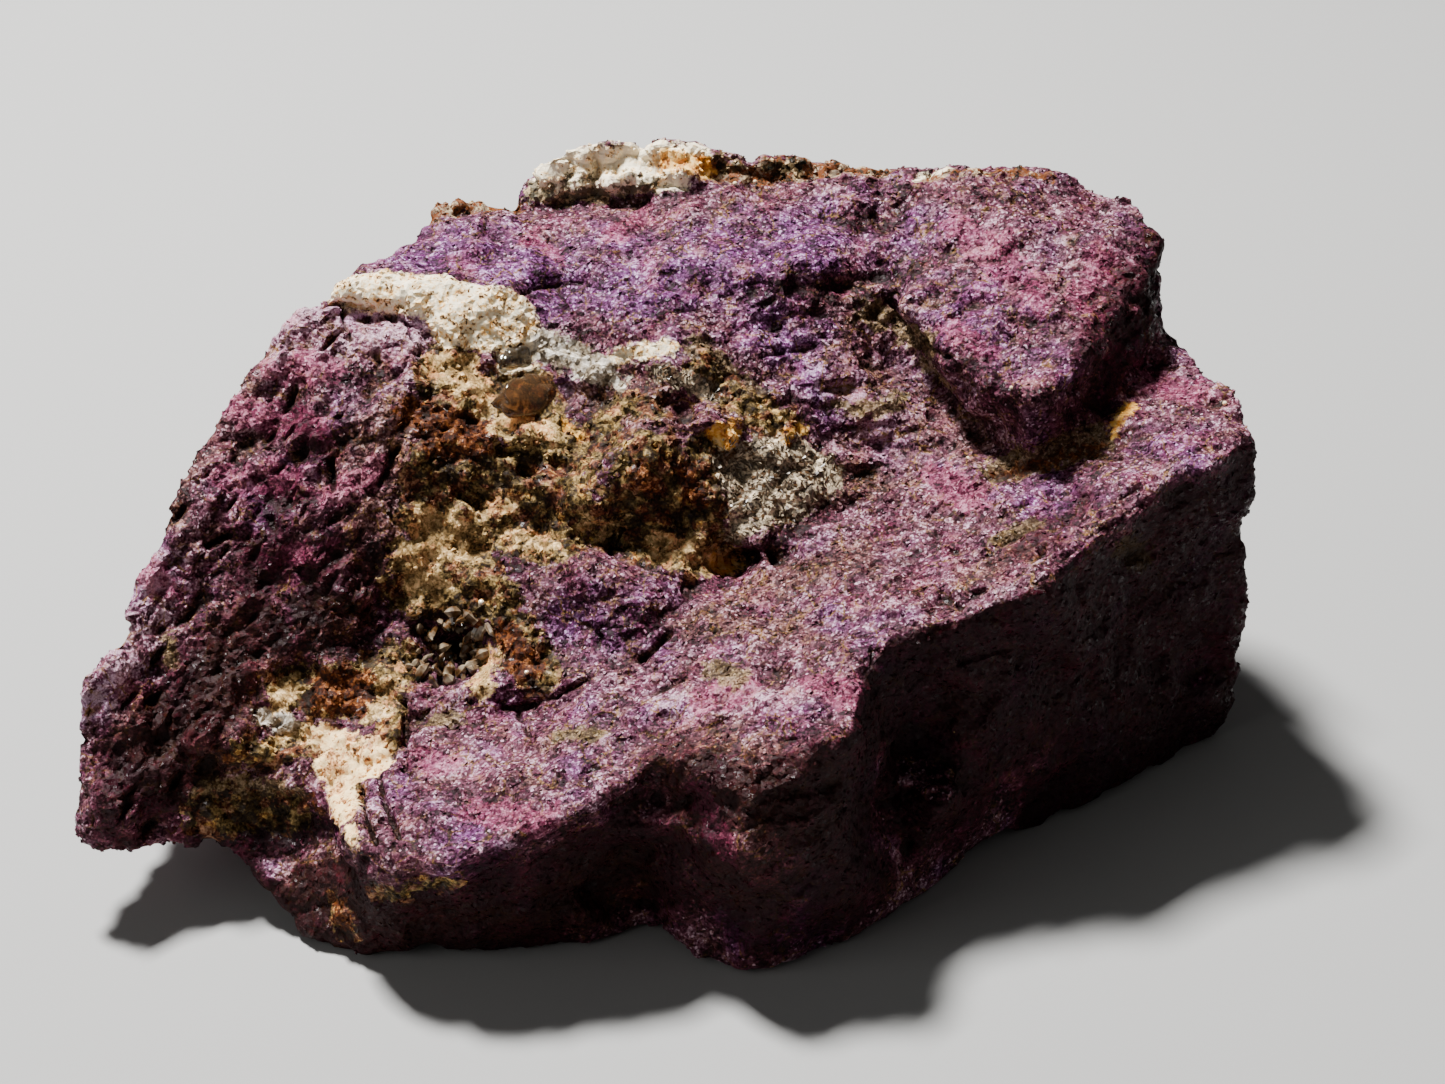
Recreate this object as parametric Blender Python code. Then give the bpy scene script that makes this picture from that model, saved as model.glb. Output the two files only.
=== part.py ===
"""Purpurite specimen: a broken lump of purple manganese phosphate with quartz and feldspar on it.

The lump is one piece of rock, so it is one solid. Its form is surveyed as named landmarks on
the broken faces, ledges, crests and pits of a hand specimen. Each landmark of the show side was
sighted from one eye point: it is given by its place in the picture seen from there and by one
measure in millimetres, which says how high it lies or how far back. Landmarks of the hidden
side are given in millimetres: right, back and up. A front sheet runs over the sighted landmarks
and a back sheet over the hidden ones. The two meet along the outline, and the closed shell is
then roughened like broken rock and ground flat where it rests.
"""

import math

import bpy
import bmesh
from mathutils import Vector, noise
from mathutils.geometry import delaunay_2d_cdt

STONE = "purpurite_stone"
MM = 0.001

# The picture that the landmarks were sighted in: pixels, degrees, and millimetres from the eye
PICTURE_WIDTH = 1445
PICTURE_HEIGHT = 1084
FIELD_OF_VIEW_DEG = 30.0
SIGHT_DIP_DEG = 35.0
SIGHT_RANGE = 149.0
SIGHT_CENTRE = Vector((3.5, 0.0, 14.0))

# The broad shelf across the front is nearly one cleavage plane: its height and its two slopes
SHELF_HEIGHT = 13.8
SHELF_RISE_RIGHT = 0.24
SHELF_RISE_BACK = 0.12

# Broken rock, in millimetres: broad lumps, two sizes of cleavage facet, and vuggy matrix
LUMP_SIZE = 9.0
LUMP_RISE = 0.35
LARGE_FACET = 5.5
SMALL_FACET = 2.6
FACET_SLOPE = 0.26
FACET_BLEND = 0.16
VUG_SIZE = 2.4
VUG_DEPTH = 0.9

# Mesh fineness
SHELL_GRAIN = 0.45
TRIANGLES = 9000
GROUND_DEPTH = 8.0
SHARP_EDGE_DEG = 50.0

DIP = math.radians(SIGHT_DIP_DEG)
AHEAD = Vector((0.0, math.cos(DIP), -math.sin(DIP)))
ABOVE = Vector((0.0, math.sin(DIP), math.cos(DIP)))
EYE = SIGHT_CENTRE - AHEAD * SIGHT_RANGE
FOCAL_PIXELS = PICTURE_WIDTH / 2 / math.tan(math.radians(FIELD_OF_VIEW_DEG / 2))


def sight_line(across, down):
    """Direction from the eye through a place in the picture."""
    right = (across - PICTURE_WIDTH / 2) / FOCAL_PIXELS
    up = (PICTURE_HEIGHT / 2 - down) / FOCAL_PIXELS
    return AHEAD + ABOVE * up + Vector((right, 0.0, 0.0))


def met_on_plane(across, down, height, rise_right, rise_back):
    """Where a sight line meets the plane of a height at the origin and two slopes."""
    line = sight_line(across, down)
    gap = height + rise_right * EYE.x + rise_back * EYE.y - EYE.z
    return EYE + line * (gap / (line.z - rise_right * line.x - rise_back * line.y))


def level(across, down, height):
    """A landmark seen at a place in the picture, at a height in millimetres."""
    return met_on_plane(across, down, height, 0.0, 0.0)


def on_shelf(across, down):
    """A landmark seen at a place in the picture, on the plane of the shelf."""
    return met_on_plane(across, down, SHELF_HEIGHT, SHELF_RISE_RIGHT, SHELF_RISE_BACK)


def upright(across, down, back):
    """A landmark seen at a place in the picture, so many millimetres behind the middle."""
    line = sight_line(across, down)
    return EYE + line * ((back - EYE.y) / line.y)


OUTLINE = {
    "ridge_end": upright(331, 286, 7.5),
    "terrace_left_low": upright(369, 266, 11.0),
    "terrace_left_mid": upright(409, 230, 14.0),
    "terrace_left_top": upright(427, 206, 15.5),
    "crust_left": upright(455, 194, 16.5),
    "crust_right": upright(506, 196, 17.0),
    "cap_left": upright(521, 176, 17.5),
    "cap_shoulder": upright(545, 154, 17.5),
    "cap_top_left": upright(600, 144, 18.0),
    "cap_top_right": upright(700, 148, 18.0),
    "cap_right": upright(745, 163, 18.0),
    "rim_crust_low": upright(770, 158, 18.5),
    "rim_crust": upright(830, 152, 18.5),
    "rim_dip": upright(890, 158, 18.5),
    "rim_middle": upright(985, 163, 17.5),
    "knob_rim_left": upright(1050, 168, 17.0),
    "knob_rim": upright(1092, 174, 16.0),
    "knob_shoulder": upright(1122, 184, 15.0),
    "knob_corner": upright(1148, 204, 13.5),
    "knob_right_top": upright(1168, 238, 11.5),
    "knob_right_mid": upright(1166, 268, 11.0),
    "knob_right_foot": upright(1164, 318, 10.5),
    "heel_top": upright(1180, 332, 9.5),
    "heel_shoulder": upright(1212, 360, 6.5),
    "heel_edge": upright(1238, 395, 3.5),
    "heel_corner": upright(1254, 432, 0.5),
    "side_top": upright(1254, 474, -0.5),
    "side_upper": upright(1248, 545, 0.0),
    "side_middle": upright(1249, 598, 0.0),
    "side_lower": upright(1240, 672, 0.0),
    "side_low": upright(1230, 710, 0.5),
    "toe_right_high": upright(1214, 733, 0.5),
    "toe_right": upright(1195, 748, -0.5),
    "base_right": level(1139, 777, 0.0),
    "base_right_mid": level(1073, 810, 0.0),
    "base_notch_right": level(1023, 833, 0.0),
    "base_notch": level(998, 834, 1.0),
    "base_mid": level(973, 852, 0.0),
    "base_bend": level(915, 897, 0.0),
    "foot_base_right": level(849, 943, 0.0),
    "foot_base": level(774, 974, 0.0),
    "foot_base_low": level(733, 978, 0.0),
    "foot_base_left": level(691, 968, 0.0),
    "foot_left_low": level(667, 940, 0.8),
    "foot_left_under": level(650, 925, 0.0),
    "hollow_base_right": level(600, 937, 0.0),
    "hollow_base": level(540, 944, 0.0),
    "body_base_right": level(480, 958, 0.0),
    "body_base": level(414, 964, 0.0),
    "body_base_left": level(347, 952, 0.0),
    "body_left_low": level(300, 930, 0.5),
    "body_left": level(262, 893, 2.0),
    "body_left_high": level(235, 862, 3.2),
    "wing_under_right": level(213, 845, 4.3),
    "wing_under": level(154, 847, 4.2),
    "wing_under_left": level(108, 857, 4.2),
    "wing_tip_low": level(78, 849, 4.6),
    "wing_tip": level(64, 828, 5.6),
    "wing_edge_low": upright(70, 765, -12.5),
    "wing_edge_bend": upright(79, 693, -10.5),
    "wing_edge_mid": upright(116, 643, -8.5),
    "wing_edge": upright(138, 572, -5.5),
    "wing_edge_nick": upright(162, 517, -3.0),
    "wing_edge_high": upright(187, 462, -0.5),
    "wing_shoulder_low": upright(221, 410, 2.0),
    "wing_shoulder": upright(262, 349, 4.5),
    "wing_top": upright(322, 296, 7.0),
}

RIDGE = {
    "ridge_crest_left": upright(390, 269, 8.3),
    "ridge_crest": upright(440, 276, 8.2),
    "ridge_crest_mid": upright(495, 293, 7.6),
    "ridge_crest_bend": level(545, 319, 24.2),
    "ridge_crest_low": level(590, 346, 23.3),
    "ridge_crest_end": level(655, 348, 23.1),
    "ridge_foot_left": level(345, 309, 24.9),
    "ridge_foot": level(395, 314, 24.9),
    "ridge_foot_mid": level(432, 336, 23.9),
    "ridge_foot_low": level(480, 352, 23.0),
    "ridge_foot_bend": level(545, 362, 22.5),
    "ridge_foot_end": level(610, 378, 22.0),
}
TERRACE = {
    "terrace_left": level(470, 235, 26.2),
    "terrace_back_left": level(560, 205, 26.6),
    "terrace_back": level(690, 195, 26.9),
    "terrace_back_right": level(800, 185, 27.2),
    "terrace_mid_left": level(560, 270, 25.4),
    "terrace_mid": level(700, 275, 25.7),
    "terrace_mid_right": level(820, 265, 25.8),
    "terrace_low": level(640, 325, 23.9),
    "terrace_low_right": level(770, 320, 23.9),
    "break_left": level(700, 356, 22.8),
    "break_mid": level(765, 356, 22.4),
    "break_right": level(825, 332, 23.0),
    "break_notch": level(872, 290, 24.3),
    "cap_base_left": level(560, 196, 26.7),
    "cap_base": level(650, 186, 27.0),
    "cap_base_right": level(735, 180, 27.2),
}
KNOB = {
    "knob_seam_top": level(905, 195, 27.4),
    "knob_seam_mid": level(860, 235, 26.3),
    "knob_left": level(893, 292, 24.6),
    "knob_edge_left": level(930, 345, 23.6),
    "knob_edge_low": level(985, 384, 23.1),
    "knob_tip": level(1036, 400, 23.1),
    "knob_edge_right": level(1083, 360, 24.1),
    "knob_edge_high": level(1128, 292, 25.7),
    "knob_edge_top": level(1157, 250, 26.6),
    "knob_face": level(1020, 270, 26.1),
    "knob_face_high": level(1060, 215, 27.6),
    "undercut_left": level(905, 318, 21.6),
    "undercut_mid": level(950, 385, 19.9),
    "undercut_low": level(1000, 448, 18.5),
    "undercut_tip": level(1030, 474, 18.4),
    "undercut_right": level(1080, 440, 19.6),
    "undercut_high": level(1125, 395, 20.6),
    "undercut_top": level(1155, 345, 21.7),
}
SLOPE = {
    "slope_top_left": level(800, 395, 21.1),
    "slope_top": level(850, 350, 22.3),
    "slope_mid": level(870, 400, 20.1),
    "slope_low": level(880, 450, 17.8),
    "slope_right": level(950, 450, 18.4),
}
SHELF = {
    "shelf_back_right": on_shelf(1110, 470),
    "shelf_right": on_shelf(1180, 420),
    "shelf_mid_right": on_shelf(1030, 530),
    "shelf_mid": on_shelf(900, 540),
    "shelf_back": on_shelf(835, 500),
    "shelf_back_left": on_shelf(775, 575),
    "shelf_left_back": on_shelf(700, 585),
    "shelf_centre": on_shelf(790, 650),
    "shelf_low": on_shelf(660, 680),
    "shelf_hump": on_shelf(560, 745),
    "ledge_back": on_shelf(540, 700),
    "ledge_back_left": on_shelf(430, 712),
    "ledge_mid": on_shelf(450, 800),
    "edge_ledge_tip": on_shelf(352, 846),
    "edge_ledge_left": on_shelf(401, 861),
    "edge_ledge": on_shelf(454, 867),
    "edge_ledge_mid": on_shelf(520, 838),
    "edge_ledge_right": on_shelf(597, 803),
    "edge_ledge_end": on_shelf(643, 770),
    "edge_nick": on_shelf(652, 737),
    "edge_foot_left": on_shelf(684, 738),
    "edge_foot": on_shelf(758, 746),
    "edge_foot_right": on_shelf(805, 749),
    "edge_foot_corner": on_shelf(848, 735),
    "edge_foot_back": on_shelf(866, 682),
    "edge_bite": on_shelf(884, 648),
    "edge_bite_mid": on_shelf(935, 627),
    "edge_bite_right": on_shelf(1008, 600),
    "edge_right_low": on_shelf(1061, 573),
    "edge_right": on_shelf(1088, 540),
    "edge_right_mid": on_shelf(1130, 510),
    "edge_right_high": on_shelf(1169, 477),
    "edge_right_top": on_shelf(1214, 465),
}
WING = {
    "wing_ridge_right": level(430, 352, 23.3),
    "wing_face_top": level(345, 400, 22.0),
    "wing_face_high": level(290, 450, 19.9),
    "wing_face": level(250, 560, 15.8),
    "wing_face_right": level(340, 520, 17.4),
    "wing_face_mid": level(190, 640, 12.6),
    "wing_face_low": level(150, 760, 8.3),
    "wing_face_lower": level(225, 740, 8.8),
    "wing_tip_face": level(112, 808, 7.6),
    "wing_inner_high": level(420, 430, 20.6),
    "wing_inner": level(395, 520, 17.0),
    "wing_inner_mid": level(360, 600, 13.9),
    "wing_inner_low": level(300, 655, 11.7),
    "wing_inner_foot": level(245, 770, 7.2),
    "wing_bottom": level(280, 830, 4.6),
}
TROUGH = {
    "trough_high": level(500, 430, 20.4),
    "trough_left": level(450, 520, 16.6),
    "trough_mid": level(550, 520, 16.6),
    "trough_high_mid": level(590, 410, 20.4),
    "trough_lump": level(635, 460, 19.4),
    "amber_lump": level(525, 392, 21.4),
    "trough_right_high": level(700, 420, 20.8),
    "trough_right": level(730, 490, 17.7),
    "mica": level(790, 480, 17.4),
    "mica_edge": level(830, 455, 17.8),
    "trough_pit": level(735, 565, 14.0),
    "trough_low": level(620, 548, 15.0),
    "trough_foot": level(690, 560, 14.8),
    "bump_left": level(545, 595, 14.2),
    "bump_top": level(590, 572, 15.4),
    "bump_right": level(645, 590, 14.8),
    "bump_foot": level(590, 645, 12.6),
    "bump_foot_right": level(655, 640, 13.0),
    "pit_left": level(470, 600, 13.2),
    "pit": level(460, 650, 11.3),
    "pit_right": level(520, 660, 12.0),
}
GULLY = {
    "gully_top": level(400, 600, 13.4),
    "gully_mid": level(350, 655, 11.3),
    "gully": level(390, 690, 10.0),
    "gully_low": level(310, 730, 9.0),
    "gully_foot": level(265, 765, 7.4),
    "gully_edge": level(325, 800, 6.9),
    "gully_right": level(385, 760, 8.9),
    "gully_lip": level(300, 782, 7.2),
}
UNDER = {
    "under_lip_left": level(330, 830, 5.2),
    "under_ledge_left": level(385, 892, 5.4),
    "under_ledge": level(455, 890, 6.0),
    "under_ledge_mid": level(540, 858, 7.2),
    "under_ledge_right": level(610, 835, 7.8),
    "under_nick": level(662, 790, 9.0),
    "wall_left": level(330, 890, 3.2),
    "wall_mid": level(430, 930, 2.2),
    "wall_right": level(560, 905, 3.2),
    "wall_far": level(630, 880, 3.6),
}
FOOT = {
    "foot_left_top": level(676, 760, 12.4),
    "foot_left_mid": level(686, 820, 9.5),
    "foot_left": level(674, 884, 5.0),
    "foot_face": level(750, 800, 11.6),
    "foot_chin": level(745, 857, 9.1),
    "foot_chin_right": level(800, 838, 9.3),
    "foot_side_top": level(846, 800, 10.6),
    "foot_side_mid": level(845, 870, 6.0),
    "foot_low": level(760, 930, 3.4),
}
RIGHT = {
    "bite_top": level(915, 680, 12.2),
    "bite_mid": level(910, 745, 8.3),
    "bite_corner": level(975, 680, 12.4),
    "bite_foot": level(880, 800, 6.0),
    "bite_foot_right": level(960, 772, 7.2),
    "bulge": level(935, 806, 6.3),
    "fold_top": level(1035, 620, 15.6),
    "fold_mid": level(1005, 700, 10.6),
    "fold_low": level(1000, 780, 5.2),
    "fold_right": level(1025, 770, 5.0),
    "flank_top": level(1150, 560, 14.6),
    "flank_mid": level(1110, 650, 9.6),
    "flank_low": level(1150, 720, 4.2),
}
FRONT = {**RIDGE, **TERRACE, **KNOB, **SLOPE, **SHELF, **WING, **TROUGH, **GULLY, **UNDER, **FOOT, **RIGHT}

BACK = {
    "cap_back_left": Vector((-5.5, 20.5, 26.0)),
    "cap_back": Vector((1.0, 21.0, 26.0)),
    "rim_back": Vector((11.0, 21.0, 25.0)),
    "rim_back_right": Vector((19.5, 20.0, 25.0)),
    "knob_back": Vector((25.5, 16.5, 24.5)),
    "rear_wall_left": Vector((-17.0, 14.0, 12.0)),
    "rear_wall": Vector((-4.0, 20.5, 14.0)),
    "rear_wall_middle": Vector((8.0, 21.5, 12.5)),
    "rear_wall_right": Vector((22.0, 18.5, 9.0)),
    "side_wall_rear": Vector((31.0, 8.5, 12.0)),
    "rear_ledge_left": Vector((-6.0, 18.0, 21.5)),
    "rear_ledge": Vector((3.0, 20.5, 19.5)),
    "rear_ledge_right": Vector((12.0, 20.0, 19.0)),
    "rear_shoulder": Vector((19.0, 17.5, 21.5)),
    "rear_hollow": Vector((15.0, 18.5, 14.5)),
    "rear_corner": Vector((26.5, 14.0, 16.0)),
    "rear_foot": Vector((-12.0, 16.5, 5.0)),
    "rear_base_left": Vector((-15.0, 12.0, -0.5)),
    "rear_base": Vector((-3.0, 18.5, -0.5)),
    "rear_base_middle": Vector((10.0, 20.0, -0.5)),
    "rear_base_right": Vector((22.0, 16.0, -0.5)),
    "rear_base_corner": Vector((30.0, 8.0, 0.5)),
    "wing_back_high": Vector((-23.0, 4.5, 15.5)),
    "wing_back": Vector((-27.0, -2.5, 9.0)),
    "wing_back_low": Vector((-28.5, -7.0, 5.5)),
    "wing_tip_back": Vector((-29.0, -10.0, 4.0)),
    "wing_root": Vector((-21.0, -5.0, 0.5)),
    "wing_belly": Vector((-25.0, -9.5, 3.0)),
    "sole_left": Vector((-12.0, -5.0, -0.6)),
    "sole_middle": Vector((3.0, -4.0, -0.6)),
    "sole_right": Vector((18.0, 1.0, -0.6)),
}

# Crests, feet and edges that the front sheet follows
FRONT_LINES = [
    ["ridge_end", "ridge_crest_left", "ridge_crest", "ridge_crest_mid", "ridge_crest_bend",
     "ridge_crest_low", "ridge_crest_end", "break_left", "break_mid", "break_right", "break_notch",
     "knob_left", "knob_edge_left", "knob_edge_low", "knob_tip", "knob_edge_right",
     "knob_edge_high", "knob_edge_top", "knob_right_top"],
    ["ridge_end", "ridge_foot_left", "ridge_foot", "ridge_foot_mid", "ridge_foot_low",
     "ridge_foot_bend", "ridge_foot_end"],
    ["knob_left", "undercut_left", "undercut_mid", "undercut_low", "undercut_tip",
     "undercut_right", "undercut_high", "undercut_top", "knob_right_foot"],
    ["gully_edge", "edge_ledge_tip", "edge_ledge_left", "edge_ledge", "edge_ledge_mid",
     "edge_ledge_right", "edge_ledge_end", "edge_nick", "edge_foot_left", "edge_foot",
     "edge_foot_right", "edge_foot_corner", "edge_foot_back", "edge_bite", "edge_bite_mid",
     "edge_bite_right", "edge_right_low", "edge_right", "edge_right_mid", "edge_right_high",
     "edge_right_top", "heel_corner"],
    ["ridge_foot_mid", "wing_ridge_right", "wing_inner_high", "wing_inner", "wing_inner_mid",
     "wing_inner_low", "wing_inner_foot", "wing_bottom"],
    ["edge_foot_left", "foot_left_top", "foot_left_mid", "foot_left", "foot_left_low"],
    ["edge_foot_corner", "foot_side_top", "foot_side_mid", "foot_base_right"],
    ["foot_left", "foot_chin", "foot_chin_right", "foot_side_mid"],
    ["edge_bite_right", "fold_mid", "fold_low", "base_notch"],
    ["under_lip_left", "under_ledge_left", "under_ledge", "under_ledge_mid",
     "under_ledge_right", "under_nick"],
]

# Corners that the back sheet follows
BACK_LINES = [
    ["rear_base_left", "rear_base", "rear_base_middle", "rear_base_right", "rear_base_corner"],
    ["rear_wall_left", "rear_wall", "rear_wall_middle", "rear_wall_right", "side_wall_rear"],
]

# Open cracks: the landmarks that each runs between, its half width and its depth in millimetres
CRACKS = [
    ("ridge_foot_left", "ridge_foot", 0.7, 1.0),
    ("ridge_foot", "ridge_foot_mid", 0.6, 0.8),
    ("gully_right", "ledge_back_left", 0.6, 0.7),
    ("ledge_back_left", "ledge_back", 0.7, 0.9),
    ("ledge_back", "shelf_low", 0.6, 0.6),
    ("knob_seam_top", "knob_seam_mid", 0.7, 0.6),
    ("knob_seam_mid", "knob_left", 0.7, 0.7),
    ("mica_edge", "slope_right", 0.6, 0.5),
]


# Weathered matrix: the landmarks that it spreads from and how far, in millimetres
VUGS = [
    ("trough_high", 3.5),
    ("trough_left", 4.0),
    ("trough_mid", 4.5),
    ("trough_high_mid", 3.5),
    ("trough_right_high", 3.0),
    ("trough_right", 2.5),
    ("trough_low", 2.5),
    ("gully_top", 2.5),
    ("gully_mid", 3.0),
    ("gully_low", 3.0),
    ("gully_foot", 2.5),
    ("pit_left", 2.0),
]

# Single lumps and pits: landmark, reach and rise in millimetres
LUMPS = [
    ("trough_lump", 2.8, 1.5),
    ("amber_lump", 1.1, 0.8),
    ("trough_low", 1.4, -0.8),
    ("bump_top", 1.6, 0.7),
    ("bump_left", 1.0, 0.5),
    ("mica", 1.6, 0.8),
    ("trough_pit", 1.3, -1.3),
    ("pit", 1.8, -1.3),
    ("trough_right_high", 1.0, 0.8),
    ("cap_base_left", 1.2, -0.5),
    ("bulge", 1.5, 0.6),
    ("bite_mid", 2.0, -0.8),
]


def clear_scene():
    for thing in list(bpy.data.objects):
        bpy.data.objects.remove(thing, do_unlink=True)


def seen_from_eye(place):
    """Where a landmark is met on a picture plane at unit distance from the eye."""
    offset = place - EYE
    ahead = offset.dot(AHEAD)
    return Vector((offset.x / ahead, offset.dot(ABOVE) / ahead))


def sheet_of(inner, lines, faces_eye):
    """Triangles of landmark names that fill the outline through the inner landmarks."""
    places = {**OUTLINE, **inner}
    names = list(places)
    index = {name: number for number, name in enumerate(names)}
    flat = [seen_from_eye(places[name]) for name in names]
    edges = [(index[a], index[b]) for line in lines for a, b in zip(line, line[1:])]
    rim = list(reversed(range(len(OUTLINE))))
    _, _, triangles, origin, _, _ = delaunay_2d_cdt(flat, edges, [rim], 1, 1e-7)
    if not all(origin):
        raise ValueError("two lines of the survey cross")
    named = [[names[origin[corner][0]] for corner in triangle] for triangle in triangles]
    if faces_eye:
        return named
    return [triangle[::-1] for triangle in named]


def surveyed_shell():
    """The closed shell over all landmarks, as a mesh in metres."""
    triangles = sheet_of(FRONT, FRONT_LINES, True) + sheet_of(BACK, BACK_LINES, False)
    places = {**OUTLINE, **FRONT, **BACK}
    index = {name: number for number, name in enumerate(places)}
    mesh = bpy.data.meshes.new(STONE)
    corners = [[index[name] for name in triangle] for triangle in triangles]
    mesh.from_pydata([place * MM for place in places.values()], [], corners)
    return mesh


def evaluated(stone):
    """The mesh that an object's modifiers give, with the modifiers taken off."""
    bpy.context.view_layer.update()
    graph = bpy.context.evaluated_depsgraph_get()
    mesh = bpy.data.meshes.new_from_object(stone.evaluated_get(graph))
    stone.modifiers.clear()
    old = stone.data
    stone.data = mesh
    bpy.data.meshes.remove(old)


def even_grain(stone):
    """Gives the shell one even grain, so that relief can be raised on it."""
    remesh = stone.modifiers.new("grain", "REMESH")
    remesh.mode = "VOXEL"
    remesh.voxel_size = SHELL_GRAIN * MM
    evaluated(stone)


def facet_relief(place, size):
    """Flat cleavage facets: each cell of rock slopes its own way, and neighbours meet at an edge."""
    gaps, centres = noise.voronoi(place / size)
    rises = []
    for centre in centres[:2]:
        slope = noise.noise_vector(centre * 2.3) * FACET_SLOPE
        rises.append((place - centre * size).dot(slope))
    share = 0.5 + 0.5 * min(1.0, (gaps[1] - gaps[0]) / FACET_BLEND)
    return rises[0] * share + rises[1] * (1.0 - share)


def bell(gap, reach):
    return math.exp(-((gap / reach) ** 2))


def crack_relief(place):
    """How far the surface drops into the nearest crack."""
    drop = 0.0
    for start, end, half_width, depth in CRACKS:
        a, b = FRONT[start], FRONT[end]
        along = max(0.0, min(1.0, (place - a).dot(b - a) / (b - a).length_squared))
        drop = max(drop, depth * bell((place - a.lerp(b, along)).length, half_width))
    return drop


def vug_relief(place):
    """Small hollows and lumps of the weathered matrix, strongest about the landmarks of VUGS."""
    share = max(bell((place - FRONT[name]).length, reach) for name, reach in VUGS)
    return share * VUG_DEPTH * noise.fractal(place / VUG_SIZE, 1.0, 2.0, 2)


def lump_relief(place):
    """Lumps that stand out and pits that go in at their own landmarks."""
    return sum(rise * bell((place - FRONT[name]).length, reach) for name, reach, rise in LUMPS)


def roughen(stone):
    """Raises lumps, facets and cracks on the shell."""
    shell = bmesh.new()
    shell.from_mesh(stone.data)
    shell.normal_update()
    moves = []
    for corner in shell.verts:
        place = corner.co / MM
        lump = noise.fractal(place / LUMP_SIZE, 1.0, 2.0, 3) * LUMP_RISE
        facet = facet_relief(place, LARGE_FACET) + facet_relief(place, SMALL_FACET)
        rise = lump + facet - crack_relief(place) + vug_relief(place) + lump_relief(place)
        moves.append(corner.normal * (rise * MM))
    for corner, move in zip(shell.verts, moves):
        corner.co += move
    shell.to_mesh(stone.data)
    shell.free()


def thin_out(stone):
    """Leaves the number of triangles that the form needs."""
    stone.data.calc_loop_triangles()
    decimate = stone.modifiers.new("thin", "DECIMATE")
    decimate.ratio = TRIANGLES / len(stone.data.loop_triangles)
    decimate.use_collapse_triangulate = True
    evaluated(stone)


def ground_block():
    """A block whose top is the level that the stone rests on."""
    block = bmesh.new()
    bmesh.ops.create_cube(block, size=1.0)
    bmesh.ops.scale(block, verts=block.verts, vec=(0.2, 0.2, GROUND_DEPTH * MM))
    bmesh.ops.translate(block, verts=block.verts, vec=(0.0, 0.0, -GROUND_DEPTH * MM / 2))
    mesh = bpy.data.meshes.new("ground_block")
    block.to_mesh(mesh)
    block.free()
    thing = bpy.data.objects.new("ground_block", mesh)
    thing.hide_render = True
    thing.display_type = "WIRE"
    bpy.context.collection.objects.link(thing)
    return thing


def grind_flat(stone):
    """Cuts the underside off level, which gives the face that the stone rests on."""
    block = ground_block()
    cut = stone.modifiers.new("ground", "BOOLEAN")
    cut.operation = "DIFFERENCE"
    cut.object = block
    evaluated(stone)
    bpy.data.objects.remove(block, do_unlink=True)
    solid = bmesh.new()
    solid.from_mesh(stone.data)
    bmesh.ops.dissolve_degenerate(solid, dist=0.02 * MM, edges=solid.edges)
    bmesh.ops.triangulate(solid, faces=solid.faces)
    solid.to_mesh(stone.data)
    solid.free()


def centre_over_origin(stone):
    """Puts the middle of the stone's box over the origin."""
    xs = [corner.co.x for corner in stone.data.vertices]
    ys = [corner.co.y for corner in stone.data.vertices]
    middle = Vector(((min(xs) + max(xs)) / 2, (min(ys) + max(ys)) / 2, 0.0))
    for corner in stone.data.vertices:
        corner.co -= middle


def rock_material():
    """Lavender to plum phosphate, dull to silky on its broken faces."""
    material = bpy.data.materials.new("purpurite")
    material.use_nodes = True
    surface = material.node_tree.nodes["Principled BSDF"]
    surface.inputs["Base Color"].default_value = (0.30, 0.17, 0.26, 1.0)
    surface.inputs["Roughness"].default_value = 0.6
    surface.inputs["Metallic"].default_value = 0.0
    return material


def build_stone():
    stone = bpy.data.objects.new(STONE, surveyed_shell())
    bpy.context.collection.objects.link(stone)
    even_grain(stone)
    roughen(stone)
    thin_out(stone)
    grind_flat(stone)
    centre_over_origin(stone)
    stone.data.materials.append(rock_material())
    stone.data.shade_smooth()
    stone.data.set_sharp_from_angle(angle=math.radians(SHARP_EDGE_DEG))
    return stone


noise.seed_set(7)
clear_scene()
build_stone()
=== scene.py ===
"""The looks of a purpurite specimen: lavender to plum phosphate with a feldspar ridge, a quartz and
feldspar crust on its rear rim, and weathered tan, rusty and micaceous matrix in its trough.

The stone is laid out in millimetres and made in metres. Places on its show face are named by the
picture's own pixels and found on the stone along the line of sight through them.
"""

import math

import bpy
import bmesh
import numpy as np
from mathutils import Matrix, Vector, noise
from mathutils.bvhtree import BVHTree


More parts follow.
